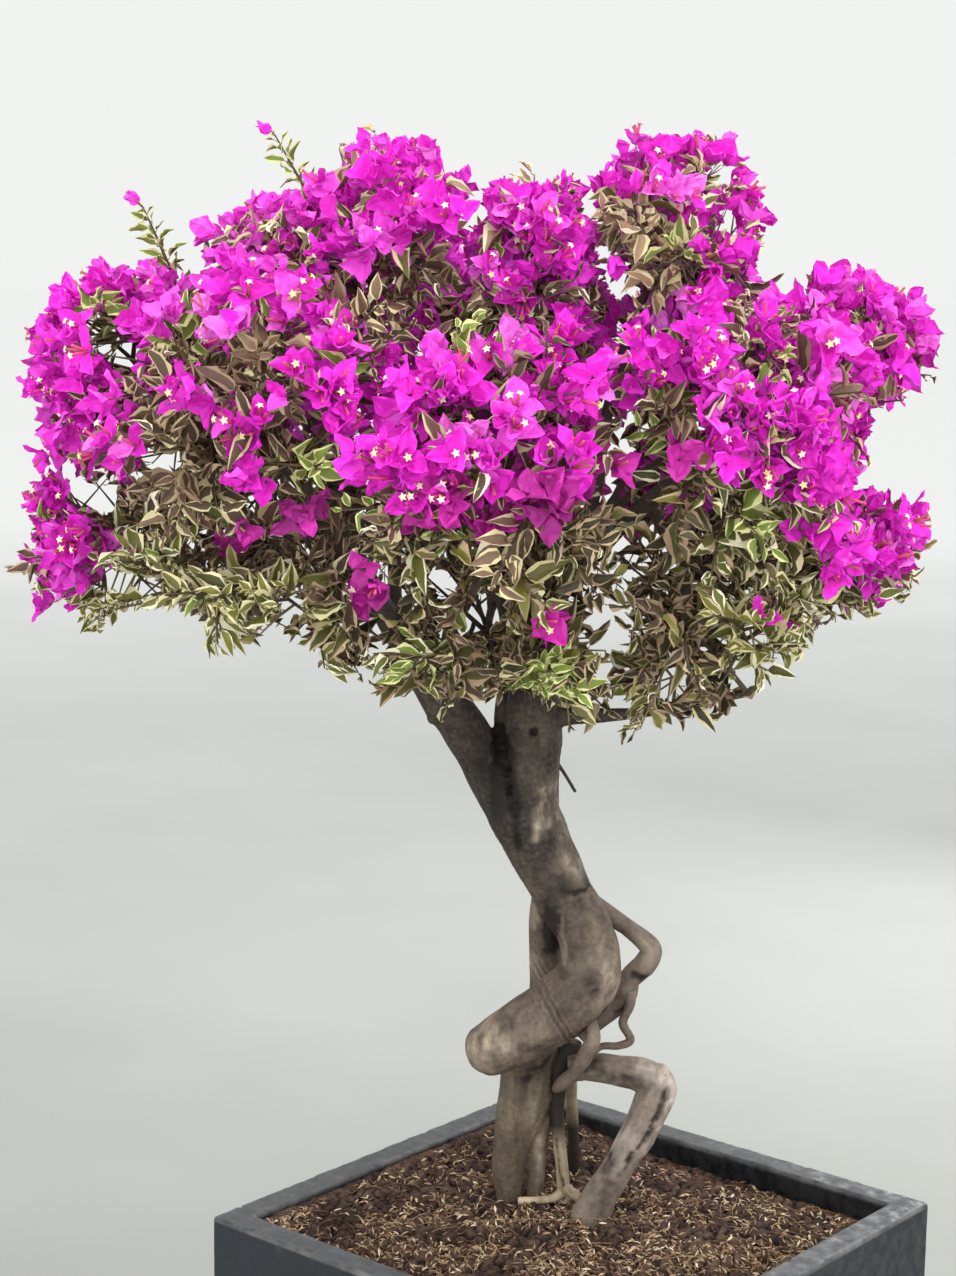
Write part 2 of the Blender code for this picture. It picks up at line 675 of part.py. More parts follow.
def spread_tips(name, space, limbs, rng):
    """Tips spread evenly through the outer part of a mass, each as far as can be from the rest."""
    centre, reach = space.centre, space.reach
    out = unit(centre - HEART)
    pool = []
    while len(pool) < TIP_POOL:
        way = unit(rng.normal(size=3))
        depth = rng.uniform(*TIP_DEPTHS)
        place = centre + way * reach * depth
        if np.dot(way, out) < TIP_INWARD or not space.holds(place, pad=TWIG_PAD):
            continue
        if any(np.linalg.norm(place - np.array(c)) < r for c, r in POCKETS):
            continue
        if nearest_on_limbs(place[None], limbs) < TIP_CLEAR:
            continue
        pool.append(place)
    pool = np.array(pool)
    chosen = [np.argmax((pool - centre) @ out)]
    gaps = np.linalg.norm(pool - pool[chosen[0]], axis=1)
    for lead in LEADERS.get(name, []):
        gaps = np.minimum(gaps, np.linalg.norm(pool - np.array(lead), axis=1))
    while len(chosen) < TIPS:
        chosen.append(np.argmax(gaps))
        gaps = np.minimum(gaps, np.linalg.norm(pool - pool[chosen[-1]], axis=1))
    return [(pool[i], False) for i in chosen]


def branch(start, tips, twigs):
    """One twig runs from a start to the farthest tip; each half of the rest springs from it."""
    ahead = max(range(len(tips)), key=lambda i: np.linalg.norm(tips[i][0] - start))
    tip = tips[ahead]
    twigs.append((start, tip[0], len(tips), tip))
    rest = tips[:ahead] + tips[ahead + 1 :]
    if not rest:
        return
    places = np.array([other[0] for other in rest])
    spread = places - places.mean(axis=0)
    axis = np.linalg.svd(spread)[2][0] if len(rest) > 1 else UP
    order = np.argsort(spread @ axis)
    halves = [order[: (len(rest) + 1) // 2], order[(len(rest) + 1) // 2 :]]
    for share, half in zip(FORK_PLACES, halves):
        if len(half):
            branch(start + share * (tip[0] - start), [rest[i] for i in half], twigs)


def blade(base, along, face, length, width):
    """Six points and eight faces: a pointed blade folded up at both edges along its midrib."""
    beside = np.cross(face, along)
    middle = base + along * length * BLADE_WIDEST
    verts = [
        base,
        middle + beside * width / 2 + face * BLADE_FOLD,
        base + along * length,
        middle - beside * width / 2 + face * BLADE_FOLD,
        middle + face * BLADE_THICK / 2,
        middle - face * BLADE_THICK / 2,
    ]
    faces = []
    for i in range(4):
        j = (i + 1) % 4
        faces += [(i, j, 4), (j, i, 5)]
    return np.array(verts), faces


def blossom(tip, along, across, length):
    """Three pointed bracts round a twig's tip, cupped forward, as one solid of twelve faces."""
    beside = np.cross(along, across)
    verts = []
    for i in range(6):
        turn = i * np.pi / 3
        way = np.cos(turn) * across + np.sin(turn) * beside
        if i % 2 == 0:
            verts.append(tip + length * (np.cos(BRACT_CUP) * way + np.sin(BRACT_CUP) * along))
        else:
            verts.append(tip + BRACT_WAIST * length * (way + BRACT_WAIST_LIFT * along))
    verts.append(tip + along * BLOSSOM_EYE)
    verts.append(tip - along * BLOSSOM_SINK)
    faces = []
    for i in range(6):
        j = (i + 1) % 6
        faces += [(i, j, 6), (j, i, 7)]
    return np.array(verts), faces


def perpendicular(run):
    return unit(np.cross(run, UP if abs(run[2]) < 0.9 else np.array([1.0, 0.0, 0.0])))


def samples(verts):
    """A blade's own points and points half way between each pair of them."""
    pairs = [(a + b) / 2 for i, a in enumerate(verts) for b in verts[i + 1 :]]
    return np.vstack([verts, pairs])


def has_room(verts, space, free, limbs, twigs, taken):
    """Whether a blade stays in its space, off the limbs and twigs and away from other blades."""
    points = samples(verts)
    if not space.holds(points, free):
        return False
    if nearest_on_limbs(points, limbs) < LIMB_MARGIN:
        return False
    if len(twigs[0]) and nearest_on_limbs(points[1:], twigs) < TWIG_MARGIN:
        return False
    for others in taken:
        if np.linalg.norm(points[:, None] - others[None], axis=2).min() < BLADE_SPACING:
            return False
    taken.append(points)
    return True


def shoot_blades(start, end, tip, room, rng, bloom):
    """The blades along a shoot and the blossom or blade at its tip."""
    pieces = []
    run = unit(end - start)
    span = np.linalg.norm(end - start)
    size = LEADER_SIZE if tip[1] else 1.0
    first = rng.uniform(0, 2 * np.pi)
    across = perpendicular(run)
    beside = np.cross(run, across)
    out = end - HEART
    light = unit(LIGHT_OUT * unit(out) + LIGHT_SIDE * unit(out * [1, 1, 0]) + LIGHT_UP * UP)

    def place_first(choices):
        """Keeps the first of several ways to set a blade that has room."""
        for verts, faces in choices:
            if has_room(verts, *room):
                pieces.append((verts, faces))
                return

    def tip_piece(lean):
        """A blossom that faces outward, or a blade that carries the shoot on."""
        along = unit(run + lean)
        if blooming:
            turn = first + 7 * np.linalg.norm(lean)
            way = np.cos(turn) * across + np.sin(turn) * beside
            along = unit(along + TIP_LIGHT * light)
            return blossom(end, along, unit(way - along * np.dot(way, along)), BRACT_LENGTH)
        face = unit(light - along * np.dot(light, along))
        base = end - run * BLADE_SINK
        return blade(base, along, face, BLADE_LENGTH * size, BLADE_WIDTH * size)

    def side_piece(number, share, attempt):
        """A blade that leaves the shoot at its own turn and faces the light."""
        turn = first + number * TURN_STEP + attempt * TURN_RETRY
        way = np.cos(turn) * across + np.sin(turn) * beside
        along = unit(np.cos(BLADE_OPEN) * run + np.sin(BLADE_OPEN) * way)
        face = light + BLADE_WOBBLE * wobble
        face = unit(face - along * np.dot(face, along))
        base = start + (end - start) * share
        return blade(base, along, face, length, length * BLADE_WIDTH / BLADE_LENGTH)

    blooming = rng.random() < bloom and not tip[1]
    leans = [np.zeros(3)]
    leans += [side * TIP_LEAN * way for way in (across, beside) for side in (1, -1)]
    place_first(tip_piece(lean) for lean in leans)
    for number, share in enumerate(BLADE_PLACES):
        length = BLADE_LENGTH * size * rng.uniform(*BLADE_SIZES)
        wobble = rng.normal(size=3)
        if span * (1 - share) < BARE_RUN:
            place_first(side_piece(number, share, attempt) for attempt in range(BLADE_TRIES))
    return pieces


def twig_line(start, end, radius):
    """A twig's two stations, its foot sunk into what it springs from."""
    heading = unit(end - start)
    foot = start - heading * radius * TWIG_SINK
    tip = end + heading * radius * TWIG_OVERRUN
    return np.array([[*foot, radius], [*tip, TWIG_RADIUS * TWIG_TAPER]])


def mass(number, name, bough):
    """Twigs that branch from one stem to the tips of a mass, with blades and blossom fused on."""
    rng = np.random.default_rng(SEED + number)
    space = Space(name)
    limbs = limb_segments(skip_tip_of=bough)
    bloom = MASSES[name][2]
    line = LIMB_LINES[bough]
    run = unit(line[-1, :3] - line[-2, :3])
    foot = line[-1, :3] + run * GAP
    tips = spread_tips(name, space, limbs, rng)
    for lead in LEADERS.get(name, []):
        lead = np.array(lead)
        back = unit(lead - space.centre) * BLADE_LENGTH * LEADER_SIZE
        if space.holds([lead, lead - back], free=True, pad=TWIG_PAD):
            tips.append((lead - back, True))
    first = foot + run * STEM_RUN
    twigs = []
    branch(first, tips, twigs)
    bough_radius = line[-1, 3]
    fork = first + run * STEM_SINK
    stem_line = [[*foot, bough_radius * STEM_SHARE], [*fork, bough_radius * STEM_TAPER]]
    stem = tube(name, np.array(stem_line), STEM_SIDES)
    pieces, kept = [], []
    for start, end, fed, tip in twigs:
        radius = min(TWIG_RADIUS * fed**TWIG_SWELL, bough_radius * FORK_SHARE)
        points = start + np.outer(np.linspace(0.1, 1, 8), end - start)
        if fed < MAIN_FEEDS and nearest_on_limbs(points, limbs) < radius + TWIG_MARGIN:
            continue
        kept.append((start, end, radius, tip))
        pieces.append(tube("twig", twig_line(start, end, radius), TWIG_SIDES))
    taken = []
    for start, end, radius, tip in kept:
        others = [twig for twig in kept if twig[1] is not end]
        near = [np.array([twig[k] for twig in others]) for k in range(3)]
        room = (space, tip[1], limbs, near, taken)
        for verts, faces in shoot_blades(start, end, tip, room, rng, bloom):
            pieces.append(solid("blade", verts, faces))
    boolean(stem, pieces, "UNION", "MANIFOLD")
    return stem


# ---------------------------------------------------------------- the whole plant
def main():
    clear_scene()
    cement = finish_named("cement", (0.10, 0.11, 0.125), 0.85)
    mulch = finish_named("mulch", (0.075, 0.045, 0.030), 0.95)
    bark = finish_named("bark", (0.26, 0.215, 0.175), 0.88)
    bract = finish_named("bracts", (0.62, 0.02, 0.50), 0.60)
    leaf = finish_named("leaves", (0.24, 0.25, 0.11), 0.60)

    turned = bpy.data.objects.new("plant_frame", None)
    turned.rotation_euler = (0.0, 0.0, PLANT_TURN)
    bpy.context.scene.collection.objects.link(turned)

    pot = planter()
    pot.data.materials.append(cement)
    fill = soil()
    fill.data.materials.append(mulch)

    wood = [trunk(), *roots(), *boughs()]
    for thing in wood:
        thing.data.materials.append(bark)
        thing.parent = turned
    carried = {entry[2]: name for name, entry in BOUGHS.items()}
    for number, name in enumerate(MASSES):
        thing = mass(number, name, carried[name])
        thing.data.materials.append(bract if MASSES[name][2] > 0.55 else leaf)
        thing.parent = turned


main()
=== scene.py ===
"""The dressed bougainvillea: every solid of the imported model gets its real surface.

The plant is set out in its own frame, turned about Z from the planter's: u to its right,
w to its back, z up. Lengths are in metres, or in millimetres in the tables of limbs, marks
and patches.
"""

import bpy
import numpy as np
from mathutils import Matrix, Vector


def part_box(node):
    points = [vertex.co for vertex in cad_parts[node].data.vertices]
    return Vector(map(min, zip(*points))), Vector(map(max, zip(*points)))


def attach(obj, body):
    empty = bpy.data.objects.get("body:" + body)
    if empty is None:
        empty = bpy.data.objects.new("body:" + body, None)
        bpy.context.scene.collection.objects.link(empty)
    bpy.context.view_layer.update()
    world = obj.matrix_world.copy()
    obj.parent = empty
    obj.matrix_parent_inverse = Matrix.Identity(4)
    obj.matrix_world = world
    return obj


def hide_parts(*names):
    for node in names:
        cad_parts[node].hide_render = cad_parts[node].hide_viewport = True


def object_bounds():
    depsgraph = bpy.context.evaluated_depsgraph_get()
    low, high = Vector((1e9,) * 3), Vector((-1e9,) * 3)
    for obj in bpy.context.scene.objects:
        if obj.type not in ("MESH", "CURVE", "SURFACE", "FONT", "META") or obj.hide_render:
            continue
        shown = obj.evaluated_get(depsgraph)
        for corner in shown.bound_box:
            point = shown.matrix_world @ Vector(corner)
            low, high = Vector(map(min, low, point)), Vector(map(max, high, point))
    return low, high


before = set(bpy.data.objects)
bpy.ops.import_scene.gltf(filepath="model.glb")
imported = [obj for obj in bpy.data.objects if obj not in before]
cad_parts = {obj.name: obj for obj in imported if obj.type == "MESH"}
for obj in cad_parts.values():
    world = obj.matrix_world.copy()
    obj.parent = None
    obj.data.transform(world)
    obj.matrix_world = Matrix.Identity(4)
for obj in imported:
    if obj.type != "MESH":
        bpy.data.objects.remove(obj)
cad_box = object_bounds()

# ================================================================ planter
# The planter is a cube of fibre-cement, cast in a mould: charcoal sides, a rim that was
# floated by hand and is rougher and paler, with a painted highlight on its top, edges that have
# worn light where they chip, and a darker bore.
GAP = 0.0003  # clearance between the planter and its soil
pot_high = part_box("planter")[1]
soil_low, soil_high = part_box("soil")
POT_HALF = pot_high.x
RIM_Z = pot_high.z
BORE_HALF = soil_high.x + GAP
FLOOR_Z = soil_low.z - GAP
WALL = POT_HALF - BORE_HALF
EDGE_ROUND = 0.003
CORNER_ROUND = 0.0045
SIDE_CELLS = 150  # columns along one side
CORNER_CELLS = 6
PROFILE_ROWS = (30, 11, 22)  # rows up the wall, across the rim and down the bore
EDGE_FADE = 0.0015  # how far the wear reaches past a rounded edge
NICK_DEPTH = 0.00256
NICK_SIZE = 0.01
NICK_FROM = 0.62  # chance relief above this is a nick
CAST_RELIEF = 0.00012
CAST_SIZE = 0.018
# The cement's colours: its two mottled charcoals, streaks down its sides, the rim's two, which
# also paint a highlight, its pale patches and dust, the worn edges and the darker inner wall.
CEMENT = ((0.0082, 0.0108, 0.0165), (0.0118, 0.0148, 0.0215))
STREAKS = (0.034, 0.037, 0.044)
RIM_CEMENT = ((0.031, 0.032, 0.037), (0.066, 0.067, 0.071))
RIM_PALE = (0.145, 0.145, 0.147)
RIM_DUST = (0.062, 0.036, 0.024)
WORN_CEMENT = (0.17, 0.167, 0.162)
DARKER_BORE_CEMENT = (0.0032, 0.0034, 0.004)
# How far each stretch of the planter's profile is worn, takes the rim's paler colours and their
# painted highlight, and is darker as the bore: the underside's edge, the wall, the rim's outer
# edge, its top, its inner edge and the bore.
PLANTER_MARKS = {
    "wear": (0, 0, 1, 0, 1, 0),
    "rim": (0, 0, 0.8, 1, 0.7, 0),
    "darker_bore": (0, 0, 0, 0, 0.3, 1),
}


def unit(vectors):
    """Vectors divided by their lengths."""
    return vectors / np.linalg.norm(vectors, axis=-1, keepdims=True)


def ripple(points, size, seed, waves=22):
    """Smooth chance relief, about -1 to 1: a sum of sine waves in seeded directions, each
    about size long."""
    rng = np.random.default_rng(seed)
    lengths = size * rng.uniform(0.6, 1.7, (waves, 1))
    ways = unit(rng.normal(size=(waves, points.shape[-1]))) * 2 * np.pi / lengths
    turns = rng.uniform(0, 2 * np.pi, waves)
    return np.sin(points @ ways.T + turns).sum(axis=-1) * 0.5 / np.sqrt(waves / 2)


def surface(name, points, face_groups, finishes, tints=None, smooth=True):
    """A mesh object from an array of points and arrays of faces, all put in as whole arrays.
    tints holds, for each array of faces, the number of each face's finish."""
    mesh = bpy.data.meshes.new(name)
    groups = [np.asarray(group) for group in face_groups]
    corners = np.concatenate([group.ravel() for group in groups])
    sizes = np.concatenate([np.full(len(group), group.shape[1]) for group in groups])
    starts = np.concatenate([[0], np.cumsum(sizes)[:-1]])
    mesh.vertices.add(len(points))
    mesh.vertices.foreach_set("co", np.asarray(points, np.float32).ravel())
    mesh.loops.add(len(corners))
    mesh.loops.foreach_set("vertex_index", corners.astype(np.int32))
    mesh.polygons.add(len(sizes))
    mesh.polygons.foreach_set("loop_start", starts.astype(np.int32))
    for finish in finishes:
        mesh.materials.append(finish)
    if tints is not None:
        mesh.polygons.foreach_set("material_index", np.concatenate(tints).astype(np.int32))
    mesh.polygons.foreach_set("use_smooth", np.full(len(sizes), smooth))
    mesh.update(calc_edges=True)
    thing = bpy.data.objects.new(name, mesh)
    bpy.context.scene.collection.objects.link(thing)
    return thing


def mark(thing, name, values):
    """Gives every point of a piece a number that its material reads."""
    attribute = thing.data.attributes.new(name, "FLOAT", "POINT")
    attribute.data.foreach_set("value", np.asarray(values, np.float32).ravel())


def belt_faces(rows, columns, first=0):
    """Quads between neighbouring rows of closed rings, the last column joined to the first."""
    i, j = np.meshgrid(np.arange(rows - 1), np.arange(columns), indexing="ij")
    k = (j + 1) % columns
    low, high = first + i * columns, first + (i + 1) * columns
    return np.stack([low + j, low + k, high + k, high + j], axis=-1).reshape(-1, 4)


def fan(ring, tip, turned=False):
    """Triangles from a closed ring of points to one tip, turned to face the other way or not."""
    faces = np.stack([ring, np.roll(ring, -1), np.full(len(ring), tip)], axis=1)
    return faces[:, [1, 0, 2]] if turned else faces


def tube_faces(rows, columns, first=0):
    """A tube's quads and the fans that close its two ends, which are its last two points."""
    ring = first + np.arange(columns)
    start = first + rows * columns
    fans = [fan(ring, start, True), fan(ring + (rows - 1) * columns, start + 1)]
    return belt_faces(rows, columns, first), np.concatenate(fans)


def grid_normals(grid):
    """Unit normals of a grid of rings: the cross product of its steps round and along."""
    round_step = np.roll(grid, -1, axis=1) - np.roll(grid, 1, axis=1)
    along_step = np.gradient(grid, axis=0)
    return unit(np.cross(round_step, along_step))


def quarter(inset, height, radius, start, stop, count=5):
    """A profile's arc as (inset, height) points round a centre, from one angle to another."""
    turn = np.radians(np.linspace(start, stop, count))
    return np.stack([inset - radius * np.cos(turn), height + radius * np.sin(turn)], axis=1)


def square_rings(halves, rounds):
    """Rings of a square with round corners: an arc at each corner and a straight run from
    its end to the next one's start, one ring for each half width."""
    turn = np.linspace(0, np.pi / 2, CORNER_CELLS + 1)
    share = (np.arange(1, SIDE_CELLS) / SIDE_CELLS)[None, :, None]
    arcs = []
    for number, corner in enumerate([(1, 1), (-1, 1), (-1, -1), (1, -1)]):
        spin = turn + number * np.pi / 2
        way = np.stack([np.cos(spin), np.sin(spin)], axis=1)
        arcs.append(np.array(corner) * (halves - rounds)[:, None, None] + way * rounds[:, None, None])
    parts = []
    for arc, following in zip(arcs, arcs[1:] + arcs[:1]):
        start, stop = arc[:, -1:], following[:, :1]
        parts += [arc, start + (stop - start) * share]
    return np.concatenate(parts, axis=1)


def material(name, roughness=0.8):
    """A Principled material: its shader, and the object coordinates that its patterns start from."""
    finish = bpy.data.materials.new(name)
    finish.use_nodes = True
    shader = finish.node_tree.nodes["Principled BSDF"]
    shader.inputs["Roughness"].default_value = roughness
    place = finish.node_tree.nodes.new("ShaderNodeTexCoord").outputs["Object"]
    return finish, shader, place


def feed(socket, value):
    """Gives a node's input another node's value, or a plain number, vector or colour."""
    if isinstance(value, bpy.types.NodeSocket):
        value.id_data.links.new(value, socket)
    else:
        socket.default_value = value


def node(beside, kind, inputs, **options):
    """A new shader node in the material of the one beside it, with its inputs fed."""
    made = beside.id_data.nodes.new("ShaderNode" + kind)
    for option, choice in options.items():
        setattr(made, option, choice)
    for key, value in inputs.items():
        feed(made.inputs[key], value)
    return made


def noise(place, scale, detail=4.0, stretch=(1, 1, 1)):
    """A noise pattern on object coordinates, stretched by a mapping."""
    mapped = node(place, "Mapping", {"Vector": place, "Scale": stretch}).outputs["Vector"]
    inputs = {"Vector": mapped, "Scale": scale, "Detail": detail, "Roughness": 0.55}
    return node(place, "TexNoise", inputs).outputs["Fac"]


def ramp(value, low, high):
    """A value spread from 0 at low to 1 at high."""
    return node(value, "MapRange", {"Value": value, "From Min": low, "From Max": high}).outputs["Result"]


def cloud(place, scale, detail, low, high, stretch=(1, 1, 1)):
    """Patches of noise: none where it is under low, full where it is over high."""
    return ramp(noise(place, scale, detail, stretch), low, high)


def blend_colours(share, first, second):
    """A mix of two colours, each a plain one or another node's."""
    first, second = [(*colour, 1.0) if isinstance(colour, tuple) else colour for colour in (first, second)]
    return node(share, "Mix", {"Factor": share, 6: first, 7: second}, data_type="RGBA").outputs[2]


def attribute_of(place, name):
    """The numbers that mark() gave the piece."""
    return node(place, "Attribute", {}, attribute_name=name).outputs["Fac"]


def calculate(operation, first, second):
    """One sum of two values, each a number or another node's."""
    return node(first, "Math", {0: first, 1: second}, operation=operation).outputs[0]


def overlay(base, colour, pattern, amount):
    """A colour laid over a base where a pattern is high, by amount at the most. The amount is
    a number or another pattern."""
    return blend_colours(calculate("MULTIPLY", pattern, amount), base, colour)


def bump(shader, height, depth, strength, under=None):
    """Raises a material's surface by a height pattern, over another bump if one is given."""
    raised = node(shader, "Bump", {"Height": height, "Distance": depth, "Strength": strength})
    if under is not None:
        feed(raised.inputs["Normal"], under)
    feed(shader.inputs["Normal"], raised.outputs["Normal"])
    return raised.outputs["Normal"]


def cement_finish():
    """Charcoal cement, mottled, with a paler floated rim that carries a painted highlight, worn edges and a
    darker inner wall.
    """
    finish, shader, place = material("charcoal_cement", 0.82)
    side = blend_colours(cloud(place, 9.0, 5.0, 0.35, 0.68), *CEMENT)
    side = overlay(side, STREAKS, cloud(place, 30.0, 3.0, 0.55, 0.8, (1, 1, 0.12)), 0.12)
    grain = cloud(place, 85.0, 6.0, 0.36, 0.66)
    rim = blend_colours(grain, *RIM_CEMENT)
    rim = overlay(rim, RIM_PALE, cloud(place, 13.0, 4.0, 0.45, 0.75), 0.3)
    rim = overlay(rim, RIM_DUST, cloud(place, 120.0, 6.0, 0.62, 0.74), 0.55)
    # the rim's paler cement, with a painted highlight on its top
    colour = blend_colours(attribute_of(place, "rim"), side, rim)
    patchy = calculate("MULTIPLY", attribute_of(place, "wear"), cloud(place, 42.0, 5.0, 0.38, 0.7))
    colour = overlay(colour, WORN_CEMENT, patchy, 0.8)
    # darker down the bore
    colour = overlay(colour, DARKER_BORE_CEMENT, attribute_of(place, "darker_bore"), 0.75)
    feed(shader.inputs["Base Color"], colour)
    feed(shader.inputs["Roughness"], ramp(grain, -0.6, 1.5))
    rough = bump(shader, noise(place, 260.0, 6.0), 0.0006, 0.5)
    bump(shader, noise(place, 40.0, 4.0), 0.0006, 0.3, rough)
    return finish


def planter():
    """A profile up the outer wall, over the rim and down the bore, carried round a square
    with round corners and closed to the middle at both ends; its edges are nicked."""
    r = EDGE_ROUND
    up, over, down = PROFILE_ROWS
    wall_rows = np.linspace(r, RIM_Z - r, up)[1:-1]
    wall_rows = np.concatenate([[r + EDGE_FADE], wall_rows, [RIM_Z - r - EDGE_FADE]])
    rim_rows = np.linspace(r, WALL - r, over)[1:-1]
    bore_rows = RIM_Z - r - (RIM_Z - r - FLOOR_Z) * np.linspace(0, 1, down)[1:] ** 1.6
    profile = [
        quarter(r, r, r, -90, 0),
        np.stack([np.zeros_like(wall_rows), wall_rows], axis=1),
        quarter(r, RIM_Z - r, r, 0, 90),
        np.stack([rim_rows, np.full_like(rim_rows, RIM_Z)], axis=1),
        quarter(WALL - r, RIM_Z - r, r, 90, 180),
        np.stack([np.full_like(bore_rows, WALL), bore_rows], axis=1),
    ]
    lengths = [len(part) for part in profile]
    marks = {name: np.repeat(np.array(values, float), lengths) for name, values in PLANTER_MARKS.items()}
    inset, height = np.concatenate(profile).T
    flat = square_rings(POT_HALF - inset, np.full(len(inset), CORNER_ROUND) - 0.05 * inset)
    heights = np.broadcast_to(height[:, None, None], (*flat.shape[:2], 1))
    grid = np.concatenate([flat, heights], axis=2)
    nicks = np.clip(ripple(grid, NICK_SIZE, 3) - NICK_FROM, 0, 0.6) * marks["wear"][:, None] * NICK_DEPTH
    cast = ripple(grid, CAST_SIZE, 4) * CAST_RELIEF * (1 + 2 * marks["rim"][:, None])
    inside = (inset > WALL - r / 2)[:, None]
    push = np.where(inside, 0, cast) - nicks
    grid = grid + grid_normals(grid) * push[..., None]
    rows, columns = grid.shape[:2]
    points = np.concatenate([grid.reshape(-1, 3), [[0, 0, 0], [0, 0, FLOOR_Z]]])
    body = surface("planter_shell", points, tube_faces(rows, columns), [cement_finish()])
    for name, values in marks.items():
        mark(body, name, np.append(np.repeat(values, columns), [0, name == "darker_bore"]))
    return body


shell = planter()
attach(shell, "root")
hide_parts("planter")

# ================================================================ soil
# The planter is filled with a dark mix of coir and bark crumbs, heaped in clods. Rice husks
# are strewn over it, thickest towards the front, with curled coir fibres lying among them.
SOIL_TOP = 0.392  # flat plateau round the trunk
SOIL_DROP = 0.015  # how far it falls from there to the walls
SOIL_PLATEAU = 0.62  # the plateau's reach, as a share of the way to the walls
SOIL_HALF = soil_high.x
HEAP_HEIGHT = 0.018  # how much higher it lies against one wall
SOIL_CELLS = 236
CLOD_SIZES = (0.034, 0.013, 0.0055)
CLOD_HEIGHTS = (0.0046, 0.005, 0.0022)
CLOD_MEAN = 0.45  # of a relief's bare size, which the plateau's height stands for
CREST_RISE = 0.0016  # above its neighbours, over which the painted shade in its creases fades out
STREWN_EDGE = 0.006  # kept free of husks and fibres along the walls
HUSKS = 6800
HUSK_LENGTHS = (0.0066, 0.0094)
HUSK_WIDTH = 0.0024
HUSK_RINGS = (-0.34, 0.0, 0.34)  # where a husk's rings stand, as shares of its length
HUSK_CROWN = (0.35, 1.0, 0.35, 0.15)  # how far up each point of a ring stands
FIBRES = 700
HUSK_SHADES = [(204, 178, 140), (172, 144, 112), (146, 118, 90), (116, 90, 70), (88, 66, 54),
               (232, 214, 182)]
HUSK_SHARES = (0.14, 0.2, 0.22, 0.22, 0.17, 0.05)
FIBRE_RADIUS = 0.00032
FIBRE_SHADES = [(120, 84, 58), (86, 56, 40), (160, 130, 98)]
DARK_MULCH = ((0.018, 0.0105, 0.0085), (0.084, 0.048, 0.035))
BROWN_MULCH = ((0.046, 0.027, 0.02), (0.2, 0.122, 0.086))
# the painted shade in the soil's creases, nearly black
PAINTED_CREASE_SHADE = (0.006, 0.0036, 0.003)
PLANT_TURN = np.radians(40.0)  # of the plant's own frame, about Z
TO_WORLD = np.array(Matrix.Rotation(PLANT_TURN, 3, "Z"))


def to_world(points):
    """Points of the plant's own frame, in the planter's."""
    return (points.reshape(-1, 3) @ TO_WORLD.T).reshape(points.shape)


def soil_height(flat):
    """The packed soil's plateau, eased down to the walls, with clods on it: the sum of the
    bare sizes of three chance reliefs, each round on top and creased between its lumps."""
    reach = ((flat / SOIL_HALF) ** 4).sum(axis=-1) ** 0.25
    ease = np.clip((reach - SOIL_PLATEAU) / (1 - SOIL_PLATEAU), 0, 1)
    ease = ease * ease * (3 - 2 * ease)
    place = np.concatenate([flat, np.zeros_like(flat[..., :1])], axis=-1)
    clods = 0.0
    for number, (size, height) in enumerate(zip(CLOD_SIZES, CLOD_HEIGHTS)):
        lumps = np.minimum(np.abs(ripple(place, size, 20 + number, 16)), 1.1)
        clods = clods + (lumps - CLOD_MEAN) * height
    edge = np.clip((1 - reach) / 0.05, 0, 1)
    heap = HEAP_HEIGHT * ease * np.clip(-flat[..., 0] / SOIL_HALF, 0, 1) ** 2
    return SOIL_TOP - SOIL_DROP * ease + heap + clods * (0.25 + 0.75 * edge)


def soil_finish():
    """Dark moist crumbs, browner on top, with painted shade nearly black in the creases."""
    finish, shader, place = material("moist_mulch", 0.95)
    crumb = cloud(place, 150.0, 6.0, 0.32, 0.68)
    dark = blend_colours(crumb, *DARK_MULCH)
    patch = cloud(place, 22.0, 4.0, 0.42, 0.7)
    colour = blend_colours(patch, dark, blend_colours(crumb, *BROWN_MULCH))
    # painted shade in the creases
    colour = blend_colours(attribute_of(place, "crest"), PAINTED_CREASE_SHADE, colour)
    feed(shader.inputs["Base Color"], colour)
    shader.inputs["Specular IOR Level"].default_value = 0.25
    coarse = bump(shader, noise(place, 210.0, 6.0), 0.003, 0.8)
    bump(shader, noise(place, 700.0, 3.0), 0.0008, 0.6, coarse)
    return finish


def sheet_faces(rows, columns):
    """Quads of an open grid of points, rows by columns."""
    i, j = np.meshgrid(np.arange(rows - 1), np.arange(columns - 1), indexing="ij")
    corner = (i * columns + j).ravel()
    return np.stack([corner, corner + 1, corner + columns + 1, corner + columns], axis=1)


def soil_bed():
    """A grid of heights over the bore, closed by a skirt down to a flat base. Its crests are
    where it stands above the mean of its neighbours; the hollows between take painted shade."""
    marks = np.linspace(-SOIL_HALF, SOIL_HALF, SOIL_CELLS + 1)
    flat = np.stack(np.meshgrid(marks, marks, indexing="xy"), axis=-1)
    height = soil_height(flat)
    count = SOIL_CELLS + 1
    top = np.concatenate([flat, height[..., None]], axis=-1).reshape(-1, 3)
    side = np.arange(SOIL_CELLS)
    rim = np.concatenate([side, side * count + SOIL_CELLS, SOIL_CELLS * count + SOIL_CELLS - side,
                          (SOIL_CELLS - side) * count])
    base = top[rim] * [1, 1, 0] + [0, 0, soil_low.z]
    low = len(top) + np.arange(len(rim))
    skirt = np.stack([rim, low, np.roll(low, -1), np.roll(rim, -1)], axis=1)
    points = np.concatenate([top, base, [[0, 0, soil_low.z]]])
    groups = [sheet_faces(count, count), skirt, fan(low, len(points) - 1, True)]
    bed = surface("soil_bed", points, groups, [soil_finish()])
    blurred = height.copy()
    for _ in range(6):
        for axis in (0, 1):
            blurred = (np.roll(blurred, 1, axis) + np.roll(blurred, -1, axis) + blurred) / 3
    crest = np.clip((height - blurred) / CREST_RISE + 0.75, 0, 1).ravel()
    mark(bed, "crest", np.concatenate([crest, np.ones(len(rim) + 1)]))
    return bed


def paint(red, green, blue):
    """A colour on the 0 to 255 scale as the linear values that a shader takes."""
    values = np.array([red, green, blue]) / 255
    return tuple(np.where(values < 0.04045, values / 12.92, ((values + 0.055) / 1.055) ** 2.4))


